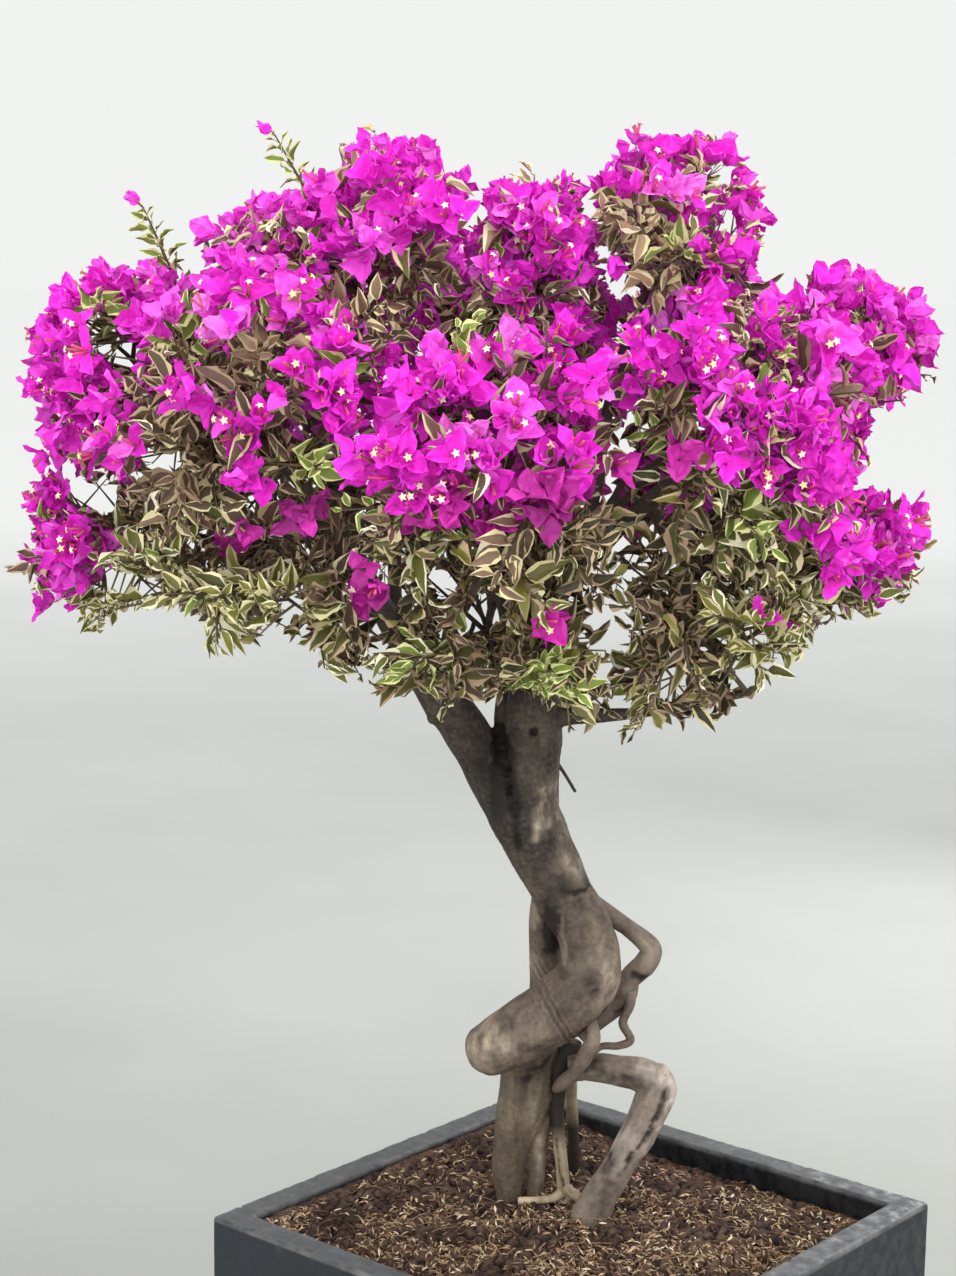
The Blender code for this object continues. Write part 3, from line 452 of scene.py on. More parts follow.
def plain_finish(name, shade, roughness, relief=0.0, scale=300.0):
    """A plain base colour with a fine grain in its relief, for pieces dealt out by the thousand."""
    finish, shader, place = material(name, roughness)
    shader.inputs["Base Color"].default_value = (*paint(*shade), 1.0)
    shader.inputs["Specular IOR Level"].default_value = 0.3
    if relief:
        bump(shader, noise(place, scale, 3.0), relief, 0.6)
    return finish


def plain_finishes(name, shades, roughness, relief=0.0, scale=300.0):
    """One plain finish for each shade."""
    return [plain_finish(f"{name}_{i}", shade, roughness, relief, scale)
            for i, shade in enumerate(shades)]


def many(name, families, finishes, smooth=True):
    """One piece of many like shapes. Each family of them has its shapes' points, the faces of
    one shape in arrays, and the number of each shape's finish, for all its arrays or for each."""
    points, groups, tints, first = [], [], [], 0
    for places, shapes, shades in families:
        count, stride = places.shape[:2]
        shift = (first + np.arange(count) * stride)[:, None, None]
        if not isinstance(shades, list):
            shades = [shades] * len(shapes)
        for faces, shade in zip(shapes, shades):
            groups.append((faces[None] + shift).reshape(-1, faces.shape[1]))
            tints.append(np.broadcast_to(shade.reshape(count, -1), (count, len(faces))).ravel())
        points.append(places.reshape(-1, 3))
        first += count * stride
    return surface(name, np.concatenate(points), groups, finishes, tints, smooth)


def soil_normals(flat):
    """The way up out of the soil, from the difference of its heights over a husk's width."""
    step = 0.003
    east = soil_height(flat + [step, 0]) - soil_height(flat - [step, 0])
    north = soil_height(flat + [0, step]) - soil_height(flat - [0, step])
    return unit(np.stack([-east, -north, np.full(len(flat), 2 * step)], axis=1))


def strewn(count, rng, front):
    """Places on the soil, as many more towards the front corner as front says."""
    flat = rng.uniform(STREWN_EDGE - SOIL_HALF, SOIL_HALF - STREWN_EDGE, (count * 4, 2))
    nearness = -(flat @ TO_WORLD[:2, 1]) / SOIL_HALF
    likely = np.clip(0.45 + front * nearness, 0.1, 1)
    drift = np.clip(0.55 + 0.9 * ripple(np.append(flat, flat[:, :1] * 0, axis=1), 0.055, 31), 0.08, 1)
    return flat[rng.random(len(flat)) < likely * drift][:count]


def husks():
    """Boats along a bent line: each ring is a thin crescent whose width follows a sine."""
    rng = np.random.default_rng(41)
    flat = strewn(HUSKS, rng, 0.42)
    count = len(flat)
    up = soil_normals(flat)
    yaw = rng.uniform(0, 2 * np.pi, count)
    ahead = np.stack([np.cos(yaw), np.sin(yaw), rng.normal(0, 0.34, count)], axis=1)
    up = unit(up + rng.normal(0, 0.35, (count, 3)))
    ahead = unit(ahead - up * (ahead * up).sum(axis=1, keepdims=True))
    side = np.cross(up, ahead)
    length = rng.uniform(*HUSK_LENGTHS, count)[:, None, None]
    share = np.array(HUSK_RINGS)[None, :, None]
    width = np.cos(share * np.pi) * HUSK_WIDTH * rng.uniform(0.75, 1.15, (count, 1, 1)) / 2
    bend = -(share**2) * length * rng.uniform(0.0, 0.3, (count, 1, 1))
    turn = np.arange(4) * np.pi / 2
    across = np.cos(turn)[None, None] * width
    crown = np.array(HUSK_CROWN)[None, None] * width * 0.75 + bend
    centre = np.concatenate([flat, (soil_height(flat) + 0.0009)[:, None]], axis=1)[:, None, None]
    rings = centre + (ahead[:, None, None] * (share * length)[..., None]
                      + side[:, None, None] * across[..., None] + up[:, None, None] * crown[..., None])
    ends = [centre[:, :, 0] + ahead[:, None] * way * length / 2 - up[:, None] * length * 0.1
            for way in (-1, 1)]
    points = np.concatenate([rings.reshape(count, -1, 3), *ends], axis=1)
    finishes = plain_finishes("husk", HUSK_SHADES, 0.7, 0.0002, 900.0)
    shade = rng.choice(len(HUSK_SHADES), count, p=HUSK_SHARES)
    return many("rice_husks", [(points, tube_faces(3, 4), shade)], finishes)


def turned(first, second, turn):
    """A direction turned from the first of two square ones towards the second."""
    return np.cos(turn) * first + np.sin(turn) * second


def square_frame(run):
    """Two unit vectors square to each run and to one another; runs in a row share one helper."""
    lead = run[:, :1] if run.ndim == 3 else run
    helper = np.where(np.abs(lead[..., 2:]) < 0.9, [0.0, 0.0, 1.0], [1.0, 0.0, 0.0])
    across = unit(np.cross(run, helper))
    return across, np.cross(run, across)


def arc_tubes(starts, middles, ends, radii, rings, sides, taper=0.6):
    """Tubes along arcs s(1-t)^2 + 2m t(1-t) + e t^2, each ring square to its arc's chord,
    closed to a point at both ends."""
    t = np.linspace(0, 1, rings)[None, :, None]
    line = (starts[:, None] * (1 - t) ** 2 + 2 * middles[:, None] * t * (1 - t) + ends[:, None] * t**2)
    run = unit(np.gradient(line, axis=1))
    across, beside = square_frame(run)
    turn = (np.arange(sides) * 2 * np.pi / sides)[:, None]
    taper = np.broadcast_to(taper, len(starts))[:, None]
    size = (radii[:, None] * (1 - (1 - taper) * t[..., 0]))[..., None, None]
    grid = line[:, :, None] + size * turned(across[:, :, None], beside[:, :, None], turn)
    tips = [line[:, :1] - run[:, :1] * radii[:, None, None] * 0.8,
            line[:, -1:] + run[:, -1:] * radii[:, None, None] * 0.5]
    return np.concatenate([grid.reshape(len(starts), -1, 3), *tips], axis=1)


def fibres():
    """Hair-thin tubes along arcs that lie on the soil and curl up in their middles."""
    rng = np.random.default_rng(43)
    flat = strewn(FIBRES, rng, 0.3)
    count = len(flat)
    reach = rng.uniform(0.006, 0.02, (count, 1))
    yaw = rng.uniform(0, 2 * np.pi, (count, 1))
    way = np.concatenate([np.cos(yaw), np.sin(yaw)], axis=1)
    edge = SOIL_HALF - 0.004
    spots = [np.clip(flat - way * reach, -edge, edge), np.clip(flat + way * reach, -edge, edge)]
    start, end = [np.concatenate([s, (soil_height(s) + 0.0006)[:, None]], axis=1) for s in spots]
    middle = (start + end) / 2 + rng.normal(0, 0.004, (count, 3))
    middle[:, 2] = np.maximum(middle[:, 2], (start[:, 2] + end[:, 2]) / 2) + 0.003
    radii = FIBRE_RADIUS * rng.uniform(0.6, 1.3, count)
    points = arc_tubes(start, middle, end, radii, 6, 4)
    finishes = plain_finishes("fibre", FIBRE_SHADES, 0.8, 0.0002, 900.0)
    shade = rng.choice(len(FIBRE_SHADES), count)
    return many("coir_fibres", [(points, tube_faces(6, 4), shade)], finishes)


for piece in (soil_bed(), husks(), fibres()):
    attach(piece, "root")
    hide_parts("soil")

# ================================================================ trunk
# A trained trunk of several stems that have grown together: a knee and thigh that lie over the
# left leg, a hip, a waist and an upper trunk that forks. The bark is thin, smooth and taupe.
# Each limb is a line of stations (u, w, z, radius), in millimetres.


def metres(rows):
    """Rows of millimetres, in metres."""
    return [tuple(value / 1000 for value in row) for row in rows]


TRUNK_MAIN = metres([
    (-96, 5, 538, 10), (-88, 5, 541, 20), (-70, 4, 549, 25.5), (-43, 0, 568, 27.5),
    (-12, 6, 587, 29), (8, 13, 610, 27.5), (5, 20, 645, 25), (-16, 30, 680, 26.5),
    (-43, 30, 733, 30), (-53, 30, 763, 32.5), (-45, 30, 815, 26.2), (-43, 30, 859, 23.5),
])
LEFT_LEG = metres([
    (-36, 36, 562, 22.5), (-42, 45, 520, 24.5), (-46, 45, 485, 23.5), (-56, 45, 445, 17),
    (-59, 47, 412, 14), (-58, 48, 390, 11.5),
])
LEG_RIB = metres([
    (-26, 50, 520, 11), (-30, 50, 463, 9.2), (-34, 50, 420, 8.3), (-35, 50, 390, 8.3),
])
BACK_STEM = metres([
    (-24, 47, 690, 17.5), (-29, 52, 645, 15), (-29, 54, 610, 14), (-31, 52, 570, 14.5),
    (-37, 48, 530, 17),
])
LEFT_BOUGH_FOOT = metres([
    (-64, 30, 758, 22.6), (-84, 30, 792, 21), (-108, 30, 830, 19.9), (-134, 30, 865, 17.2),
])
DARK_BOUGH_FOOT = metres([
    (-68, 34, 806, 10.4), (-68, 42, 836, 10.4), (-64, 60, 875, 9.2),
])
LOW_BOUGH_FOOT = metres([
    (-36, 30, 838, 13.8), (-9, 20, 839, 12), (12, 8, 842, 8.5), (46, -8, 848, 6.8),
    (78, -22, 855, 5),
])
TRUNK_STEP = 0.016  # between the stations that the source's rings stand on
LEG_STEP = 0.018
BOUGH_STEP = 0.03
SKIN_STEP = 0.0035  # between the rings of the finished wood
VOXEL = 0.0016  # of the skin drawn over the joined stems
ROOT_SINK = 0.012  # how far the stems run on below the soil's plateau
GRAIN_STRETCH = 0.1  # the grain's pitch along a stem, against its pitch across
GRAIN_DEPTHS = (0.00032, 0.00016)  # of the grain's ridges, coarse and fine
GRAIN_SIZES = (0.0085, 0.0032)
LUMP_DEPTH = 0.0008
RING_DEPTH = 0.000384  # of the creases across a stem
RING_SIZE = 0.0046
LUMP_SIZE = 0.036
# Grooves and swellings on the front of the trunk, as seen square on, in millimetres: two ends
# (u, z), the radius, and how far the bark rises (or sinks) there.
TRUNK_MARKS = [
    (-74, 826, -70, 796, 2.8, -4.6), (-70, 796, -65, 777, 2.8, -4.6),
    (-65, 777, -59, 755, 2.6, -3.8), (-59, 755, -55, 726, 3.4, -2.2),
    (-73, 815, -62, 765, 8.5, -2.4), (-44, 827, -42.5, 827, 7.2, 1.8),
    (-44, 827, -42.5, 827, 2.9, -6), (-127, 836, -125, 838, 6.8, 4.2),
    (-12, 685, 9, 689, 1.2, -1.2), (-11, 680, 10, 684, 2.2, 1.4), (-6, 600, 18, 604, 1.6, -0.4),
    (-8, 640, 15, 643, 1.5, -0.3),
]
# Stains and pale worn patches on it, with painted shade in its hollows and along the left
# bough's edge and painted highlights on its lit edges, seen the same way: last is how dark each
# is, or how pale, below 0.
TRUNK_STAINS_AND_PAINTED_LIGHT = [
    (-27.5, 664, -23.5, 628, 8, 1.7), (-34, 674, -18, 688, 9, 0.6), (-12, 685, 10, 689, 1.3, 0.5),
    (3, 562, 33, 596, 3.4, 0.9), (-90, 815, -68, 745, 11, 0.45), (-18, 505, -18, 400, 6, 1.2),
    (-46, 512, -20, 532, 8, 0.8), (-44, 827, -42.5, 827, 3, 1.2),
    (-36, 776, -35, 765, 4.2, -0.75), (-37.5, 760, -39, 736, 4.6, -1.0),
    (-30, 760, -31, 745, 3, -0.45), (-40, 664, -39, 645, 4.4, -0.8),
    (-17.5, 662, -13.5, 622, 2.2, -0.9), (-80, 568, -70, 560, 12, -0.6),
    (-62, 590, -56, 582, 6, -0.25), (-26, 777, -17, 735, 7.5, -0.55),
    (-12, 715, -5, 697, 8, -0.65), (24, 627, 27, 597, 8.5, -0.75), (14, 648, 13, 630, 7, -0.3),
    (-38, 488, -35, 461, 7, -0.5), (-33, 450, -32, 413, 5, -0.9), (-92, 552, -82, 540, 13, -0.7),
    (-68, 566, -56, 550, 12, -0.4), (-62, 512, -58, 470, 9, -0.3), (7, 622, 10, 606, 8, 0.55),
]
WRINKLE_FROM = np.array([-0.034, 0.607])  # the crease of the thigh and the wrinkles beside it
WRINKLE_TO = np.array([-0.008, 0.56])
WRINKLE_PITCH = 0.0052
WRINKLE_DEPTH = 0.00085
WRINKLE_SPREAD = 0.008
MARK_STRAY = 0.0016
LOW_BOUGH_SLIM = 0.72  # of the low bough's thickness, past its foot


def smooth_line(stations, step):
    """Points about one step apart on the Catmull-Rom curve through the stations: a cubic
    between each two, whose end slopes are half the step between their neighbours."""
    knots = np.array(stations, float)
    knots = np.vstack([2 * knots[0] - knots[1], knots, 2 * knots[-1] - knots[-2]])
    line = []
    for a, b, c, d in zip(knots[:-3], knots[1:-2], knots[2:-1], knots[3:]):
        count = max(1, round(np.linalg.norm(c[:3] - b[:3]) / step))
        t = (np.arange(count) / count)[:, None]
        line.append(0.5 * (2 * b + (c - a) * t + (2 * a - 5 * b + 4 * c - d) * t**2
                           + (3 * b - a - 3 * c + d) * t**3))
    return np.vstack([*line, knots[-2:-1]])


def along_line(line):
    """How far each point of a line is from its start, along it."""
    return np.concatenate([[0], np.cumsum(np.linalg.norm(np.diff(line[:, :3], axis=0), axis=1))])


def spokes_of(line, sides):
    """The ways out from each point of a line to its ring of a tube, square to the line: the
    ring's first spoke is carried from ring to ring without a twist."""
    runs = unit(np.gradient(line[:, :3], axis=0))
    spoke = unit(np.cross(runs[0], [0.31, 0.83, 0.46]))
    spokes = []
    for run in runs:
        spoke = unit(spoke - run * (spoke @ run))
        spokes.append(spoke)
    spokes = np.array(spokes)[:, None]
    beside = np.cross(runs[:, None], spokes)
    turn = (np.arange(sides) * 2 * np.pi / sides)[None, :, None]
    return turned(spokes, beside, turn)


def grain_relief(along, offset, place, seed):
    """Height of the bark: ridges that run with the grain, creases across it and slow lumps,
    from how far along the stem a point is, its offset from the stem's line and its place."""
    stem = np.concatenate([along[..., None] * GRAIN_STRETCH, offset], axis=-1)
    coarse = ripple(stem, GRAIN_SIZES[0], seed)
    fine = ripple(stem, GRAIN_SIZES[1], seed + 1)
    creases = ripple(np.concatenate([along[..., None], offset * 0.22], axis=-1), RING_SIZE, seed + 2)
    lumps = ripple(place, LUMP_SIZE, seed + 3)
    patch = np.clip(ripple(place, 0.03, seed + 4) + 0.3, 0, 1)
    return (coarse * GRAIN_DEPTHS[0] + fine * GRAIN_DEPTHS[1] + lumps * LUMP_DEPTH
            - np.clip(creases - 0.25, 0, 1) * RING_DEPTH * patch)


def joined(rows):
    """Rows of arrays, joined each with its like."""
    return [np.concatenate(parts) for parts in zip(*rows)]


def from_segments(points, starts, spans):
    """For each point and each segment: the share of the segment at which the nearest place
    lies, that place and its distance."""
    lengths = np.maximum((spans**2).sum(axis=1), 1e-12)
    share = np.clip((points @ spans.T - (starts * spans).sum(axis=1)) / lengths, 0, 1)
    near = starts[None] + share[..., None] * spans[None]
    return share, near, np.linalg.norm(points[:, None] - near, axis=2)


def places_on(points, line):
    """For points near a stem: how far along its line each one's nearest place is, the offset
    from there and the height above the stem's surface."""
    starts, spans = line[:-1, :3], np.diff(line[:, :3], axis=0)
    ends = along_line(line)
    rows = []
    for part in np.array_split(points, max(1, len(points) // 6000)):
        share, near, away = from_segments(part, starts, spans)
        height = away - (line[:-1, 3] + share * np.diff(line[:, 3]))
        best = height.argmin(axis=1)
        row = np.arange(len(part))
        along = ends[best] + share[row, best] * np.linalg.norm(spans[best], axis=1)
        rows.append((along, part - near[row, best], height[row, best]))
    return joined(rows)


def groove(points, start, stop, radius):
    """A rounded bell across the line from start to stop: 1 on it, falling off over radius."""
    start, span = np.array(start), np.array(stop) - np.array(start)
    share = np.clip((points - start) @ span / (span @ span), 0, 1)
    away = np.linalg.norm(points - start - share[:, None] * span, axis=1)
    return np.exp(-((away / radius) ** 2))


def front_marks(place, outward, marks):
    """The sum of the marks' bells at each point, unevenly filled and a little astray, full where
    the bark faces the front, fading to nothing on its back."""
    stray = np.stack([ripple(place, 0.014, 381), ripple(place, 0.014, 382)], axis=-1)
    square_on = (place[..., [0, 2]] + MARK_STRAY * stray).reshape(-1, 2)
    patchy = np.clip(1.0 + 0.4 * ripple(place, 0.0075, 383), 0, 1.5).ravel()
    total = np.zeros(len(square_on))
    for *places, rise in marks:
        start_u, start_z, stop_u, stop_z, radius = np.array(places) / 1000
        total += groove(square_on, (start_u, start_z), (stop_u, stop_z), radius) * patchy * rise
    return total.reshape(place.shape[:-1]) * np.clip(0.35 - 2.2 * outward[..., 1], 0, 1)


def bark_finish(name, young, old, pale, dark, high=None, low=None):
    """Thin bark: two mottled browns under pale worn patches and painted highlights, another brown
    low down and a painted shadow of the crown high up, painted shade and dark stains in its creases,
    with a fine grain of dots and hairlines in its relief."""
    finish, shader, place = material(name, 0.78)
    young, old, pale, dark = (paint(*shade) for shade in (young, old, pale, dark))
    mottle = cloud(place, 30.0, 5.0, 0.3, 0.72)
    base = blend_colours(mottle, young, old)
    # high up, a painted shadow of the crown; low down, olive bark
    for zone, shade in (("high", high), ("low", low)):
        if shade:
            base = overlay(base, paint(*shade), attribute_of(place, zone), 0.86)
    base = overlay(base, pale, cloud(place, 240.0, 5.0, 0.38, 0.72), 0.15)
    base = overlay(base, pale, cloud(place, 19.0, 5.0, 0.5, 0.72), attribute_of(place, "pale"))
    # pale worn patches and painted highlights, from the stains below 0
    pale_patchiness = cloud(place, 85.0, 5.0, 0.3, 0.66, (1, 1, 0.5))
    base = overlay(base, pale, attribute_of(place, "pale_and_highlight"), pale_patchiness)
    # painted shade in the creases, with dark stains
    base = overlay(base, dark, attribute_of(place, "crease"), 0.95)
    base = overlay(base, dark, cloud(place, 95.0, 4.0, 0.52, 0.74, (1, 1, 0.16)), 0.42)
    base = overlay(base, dark, cloud(place, 330.0, 2.0, 0.66, 0.74), 0.6)
    feed(shader.inputs["Base Color"], base)
    feed(shader.inputs["Roughness"], ramp(mottle, -1.6, 1.1))
    shader.inputs["Specular IOR Level"].default_value = 0.32
    skin = bump(shader, noise(place, 420.0, 5.0), 0.0007, 0.45)
    bump(shader, noise(place, 130.0, 5.0), 0.0013, 0.4, skin)
    return finish


def sunk(stations, depth=ROOT_SINK):
    """A stem's stations, run on straight down past its last one, a little wider there."""
    u, w, z, radius = stations[-1]
    return [*stations, (u, w, z - depth, radius * 1.12)]


limb_lines = {  # the source's lines, which boughs spring from and foliage keeps clear of
    "trunk": smooth_line(TRUNK_MAIN, TRUNK_STEP),
    "trunk:leg": smooth_line(LEFT_LEG, LEG_STEP),
    "trunk:rib": smooth_line(LEG_RIB, LEG_STEP),
    "trunk:back": smooth_line(BACK_STEM, LEG_STEP),
}

# ================================================================ boughs
# Limbs that leave the fork, or one another, and thin out towards the masses of foliage. Their
# bark is like the trunk's, but browner.
HEART = np.array([-0.085, 0.03, 0.96])  # the crown is full outward of this point
# Each mass of foliage: its centre (u, w, z), its reach (u, w, z), its share in bloom.
MASSES = {
    "far_left_high": ((-0.37, 0.03, 1.115), (0.125, 0.145, 0.108), 0.9),
    "far_left_low": ((-0.38, 0.02, 0.985), (0.112, 0.14, 0.088), 0.5),
    "top_left": ((-0.195, 0.05, 1.205), (0.15, 0.155, 0.132), 1.0),
    "centre_high": ((-0.055, 0.055, 1.185), (0.125, 0.145, 0.125), 0.9),
    "top_right": ((0.065, 0.045, 1.215), (0.108, 0.145, 0.128), 0.9),
    "right_high": ((0.185, 0.03, 1.11), (0.118, 0.14, 0.122), 0.9),
    "right_low": ((0.19, 0.01, 0.985), (0.11, 0.14, 0.08), 0.5),
    "front_left": ((-0.255, -0.15, 1.095), (0.155, 0.145, 0.128), 0.7),
    "front_left_low": ((-0.25, -0.12, 0.965), (0.155, 0.155, 0.088), 0.2),
    "front": ((-0.085, -0.2, 1.06), (0.14, 0.138, 0.13), 0.6),
    "front_low": ((-0.08, -0.14, 0.935), (0.14, 0.155, 0.085), 0.1),
    "front_right": ((0.095, -0.15, 1.085), (0.135, 0.145, 0.13), 0.6),
    "front_right_low": ((0.078, -0.11, 0.94), (0.145, 0.155, 0.088), 0.2),
    "back_left": ((-0.25, 0.2, 1.06), (0.16, 0.158, 0.165), 0.6),
    "back": ((-0.08, 0.25, 1.08), (0.14, 0.135, 0.165), 0.6),
    "back_right": ((0.11, 0.2, 1.06), (0.15, 0.155, 0.165), 0.6),
}
# Each bough: the limb that it springs from, how far along that limb, the mass it leads to,
# its radius at the foot and at the tip.
BOUGHS = {
    "left_bough": ("trunk", 0.0, "far_left_high", 0.015, 0.005),
    "low_bough": ("trunk", 0.0, "front_right_low", 0.0045, 0.004),
    "dark_bough": ("trunk", 0.0, "top_left", 0.0088, 0.0048),
    "centre_bough": ("trunk", 1.0, "centre_high", 0.021, 0.005),
    "right_bough": ("centre_bough", 0.1, "right_high", 0.013, 0.0048),
    "front_bough": ("centre_bough", 0.36, "front", 0.009, 0.0046),
    "back_bough": ("centre_bough", 0.54, "back", 0.0085, 0.0046),
    "back_left_bough": ("left_bough", 0.44, "back_left", 0.0095, 0.0046),
    "left_low_bough": ("left_bough", 0.52, "front_left_low", 0.008, 0.0042),
    "front_left_bough": ("left_bough", 0.64, "front_left", 0.0085, 0.0044),
    "far_left_low_bough": ("left_bough", 0.79, "far_left_low", 0.007, 0.0044),
    "top_right_bough": ("right_bough", 0.3, "top_right", 0.0085, 0.0046),
    "front_right_bough": ("right_bough", 0.46, "front_right", 0.0075, 0.0044),
    "back_right_bough": ("right_bough", 0.6, "back_right", 0.0072, 0.0044),
    "right_low_bough": ("right_bough", 0.76, "right_low", 0.006, 0.0042),
    "front_low_bough": ("front_bough", 0.28, "front_low", 0.0065, 0.004),
}
BOUGH_FEET = {  # what is seen of these three where they leave the trunk
    "left_bough": LEFT_BOUGH_FOOT,
    "dark_bough": DARK_BOUGH_FOOT,
    "low_bough": LOW_BOUGH_FOOT,
}
BOUGH_ENDS = {"low_bough": (0.112, -0.04, 0.868)}
BOUGH_STOP = 0.42  # a bough ends this share of the way from its mass's centre to the heart
BOUGH_STOP_STEP = 0.02
BOUGH_BEND = 0.3  # reach of the bend at each end of a bough, as a share of its span
BOUGH_LIFT = 0.35  # how far a bough turns up as it arrives
BOUGH_TAPER = 0.8
BOUGH_RING = 0.005  # between the rings of a bough's bark
LIMB_SWELL = 0.07  # how unevenly a limb is thick, against its radius
RISE_LIMIT = 0.3  # its bark rises or sinks no further than this, against its radius
CREASE_SHADE_DEPTH = 0.002  # painted shade makes its bark darkest where it is sunk this far
GOUGE_SHADE_DEPTH = 0.0016  # and in gouges this deep, also painted shade
SPACE_MARGIN = 0.0008
TWIG_PAD = 0.0045
UP = np.array([0.0, 0.0, 1.0])


def planes_of(name):
    """The planes that part a mass from its neighbours: each is square to the line between two
    centres, at the place where the two masses' reaches balance."""
    centre, reach = np.array(MASSES[name][0]), np.array(MASSES[name][1])
    others = [value for other, value in MASSES.items() if other != name]
    away = np.array([other[0] for other in others]) - centre
    span = np.linalg.norm(away, axis=1)
    weight = reach.mean() ** 2 - np.array([np.mean(other[1]) for other in others]) ** 2
    return away / span[:, None], (span**2 + weight) / (2 * span) - SPACE_MARGIN


def in_space(name, points, free=False, pad=0.0):
    """Whether each point lies in a mass's room: its ellipsoid, less what lies past the planes
    to its neighbours. A leader's points are free of the ellipsoid."""
    normals, places = planes_of(name)
    local = np.asarray(points) - MASSES[name][0]
    inside = (local @ normals.T <= places - pad).all(axis=-1)
    if free:
        return inside
    return inside & (((local / MASSES[name][1]) ** 2).sum(axis=-1) <= 1)


def point_on(line, share):
    """The point and direction at a share of a line's length."""
    ends = along_line(line)
    place = share * ends[-1]
    i = min(np.searchsorted(ends, place, side="right") - 1, len(line) - 2)
    t = (place - ends[i]) / (ends[i + 1] - ends[i])
    return line[i] * (1 - t) + line[i + 1] * t, unit(line[i + 1, :3] - line[i, :3])


def bough_stations(name):
    """A bough's seen foot, if it has one, then a cubic from there that leaves along the limb
    and arrives heading out and up into its mass."""
    parent, share, mass, foot_radius, tip_radius = BOUGHS[name]
    stations = list(BOUGH_FEET.get(name, []))
    if stations:
        start = np.array(stations[-1][:3])
        run = unit(start - np.array(stations[-2][:3]))
    else:
        place, run = point_on(limb_lines[parent], share)
        start = place[:3]
        stations = [(*start, foot_radius)]
    if name in BOUGH_ENDS:
        end, heading = np.array(BOUGH_ENDS[name]), run
    else:
        centre = np.array(MASSES[mass][0])
        stop = BOUGH_STOP
        while not in_space(mass, centre + stop * (HEART - centre), pad=TWIG_PAD):
            stop -= BOUGH_STOP_STEP
        end = centre + stop * (HEART - centre)
        heading = unit(unit(centre - HEART) + BOUGH_LIFT * UP)
    bend = BOUGH_BEND * np.linalg.norm(end - start)
    lead, arrive = start + run * bend, end - heading * bend
    for t in (0.25, 0.5, 0.75, 1.0):
        s = 1 - t
        place = s**3 * start + 3 * s * s * t * lead + 3 * s * t * t * arrive + t**3 * end
        stations.append((*place, foot_radius + (tip_radius - foot_radius) * t**BOUGH_TAPER))
    return stations


def limb_skin(name, stations, sides, finish, seed, rough=1.0, pale=0.5, step=SKIN_STEP, marks=(),
              stains_and_light=(), dark=None):
    """A tube along a limb's smoothed line with the bark's relief and the limb's own marks raised
    square to the line, closed to a point at each end. Painted shade darkens it where it is sunk
    and in its gouges, and from one height to another."""
    line = smooth_line(stations, step)
    away = spokes_of(line, sides)
    radius = line[:, None, 3:4]
    along = np.broadcast_to(along_line(line)[:, None], away.shape[:2])
    bare = line[:, None, :3] + away * radius
    dents = front_marks(bare, away, marks) / 1000
    height = grain_relief(along, away * radius, bare, seed) * rough + dents
    shape = np.concatenate([along[..., None] * 0.4, away * 0.012], axis=-1)
    swell = 1 + LIMB_SWELL * ripple(shape, 0.03, seed + 9)[..., None]
    rise = np.clip(height[..., None], -RISE_LIMIT * radius, RISE_LIMIT * radius)
    grid = line[:, None, :3] + away * (radius * swell + rise)
    points = to_world(np.concatenate([grid.reshape(-1, 3), line[[0, -1], :3]]))
    skin = surface(name, points, tube_faces(len(line), sides), [finish])
    stain_and_light = front_marks(bare, away, stains_and_light)
    # painted shade where the bark is sunk and in gouges, with the dark stains
    crease = np.clip(-height / CREASE_SHADE_DEPTH - np.minimum(dents, 0) / GOUGE_SHADE_DEPTH, 0, 1)
    crease = np.clip(crease + np.clip(stain_and_light, 0, 1), 0, 1)
    # painted shade, from one height to another
    if dark is not None:
        start, stop = dark
        crease = np.maximum(crease, np.clip((bare[..., 2] - start) / (stop - start), 0, 1))
    mark(skin, "crease", np.append(crease.ravel(), [0, 0]))
    mark(skin, "pale", np.full(len(points), pale))
    # pale worn patches and painted highlights
    mark(skin, "pale_and_highlight", np.append(np.clip(-stain_and_light, 0, 1).ravel(), [0, 0]))
    return skin


brown_bark = bark_finish("bough_bark", (52, 46, 42), (78, 69, 62), (126, 113, 98), (34, 29, 26))
# the trunk's colour high up, (33, 28, 25), is a painted shadow of the crown; low down it is olive
trunk_bark = bark_finish("trunk_bark", (66, 56, 49), (106, 92, 81), (176, 160, 140), (24, 19, 17),
                         (33, 28, 25), (86, 75, 60))
FUSED_BOUGHS = ("left_bough", "dark_bough", "low_bough", "centre_bough")
STEM_SIDES = 20
STEM_BLEND = 0.0035  # over which one stem's grain gives way to the next one's
STEM_GAP_SHADE_WIDTH = 0.005  # of the painted shade in the hollow where two stems meet
STEM_GAP_SHADE = 0.45
FUSED_CREASE_SHADE_DEPTH = 0.003  # painted shade makes the trunk's bark darkest where it is sunk this far
FUSED_GOUGE_SHADE_DEPTH = 0.0024
PALE_AT = 0.6  # the bark is palest at this height, and darker higher up under a painted shadow of the crown
PALE_FADE = 0.26
CROWN_SHADOW_FROM = 0.65
CROWN_SHADOW_FADE = 0.08
OLIVE_UNDER = 0.545  # and olive low down
OLIVE_FADE = 0.03
bough_paths = {}
for number, name in enumerate(BOUGHS):
    bough_paths[name] = bough_stations(name)
    limb_lines[name] = smooth_line(bough_paths[name], BOUGH_STEP)
    if name in FUSED_BOUGHS:
        continue
    skin = limb_skin(name + "_bark", bough_paths[name], 14, brown_bark, 200 + 10 * number, 0.9, 0.2,
                     BOUGH_RING)
    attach(skin, "root")
    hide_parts(name)


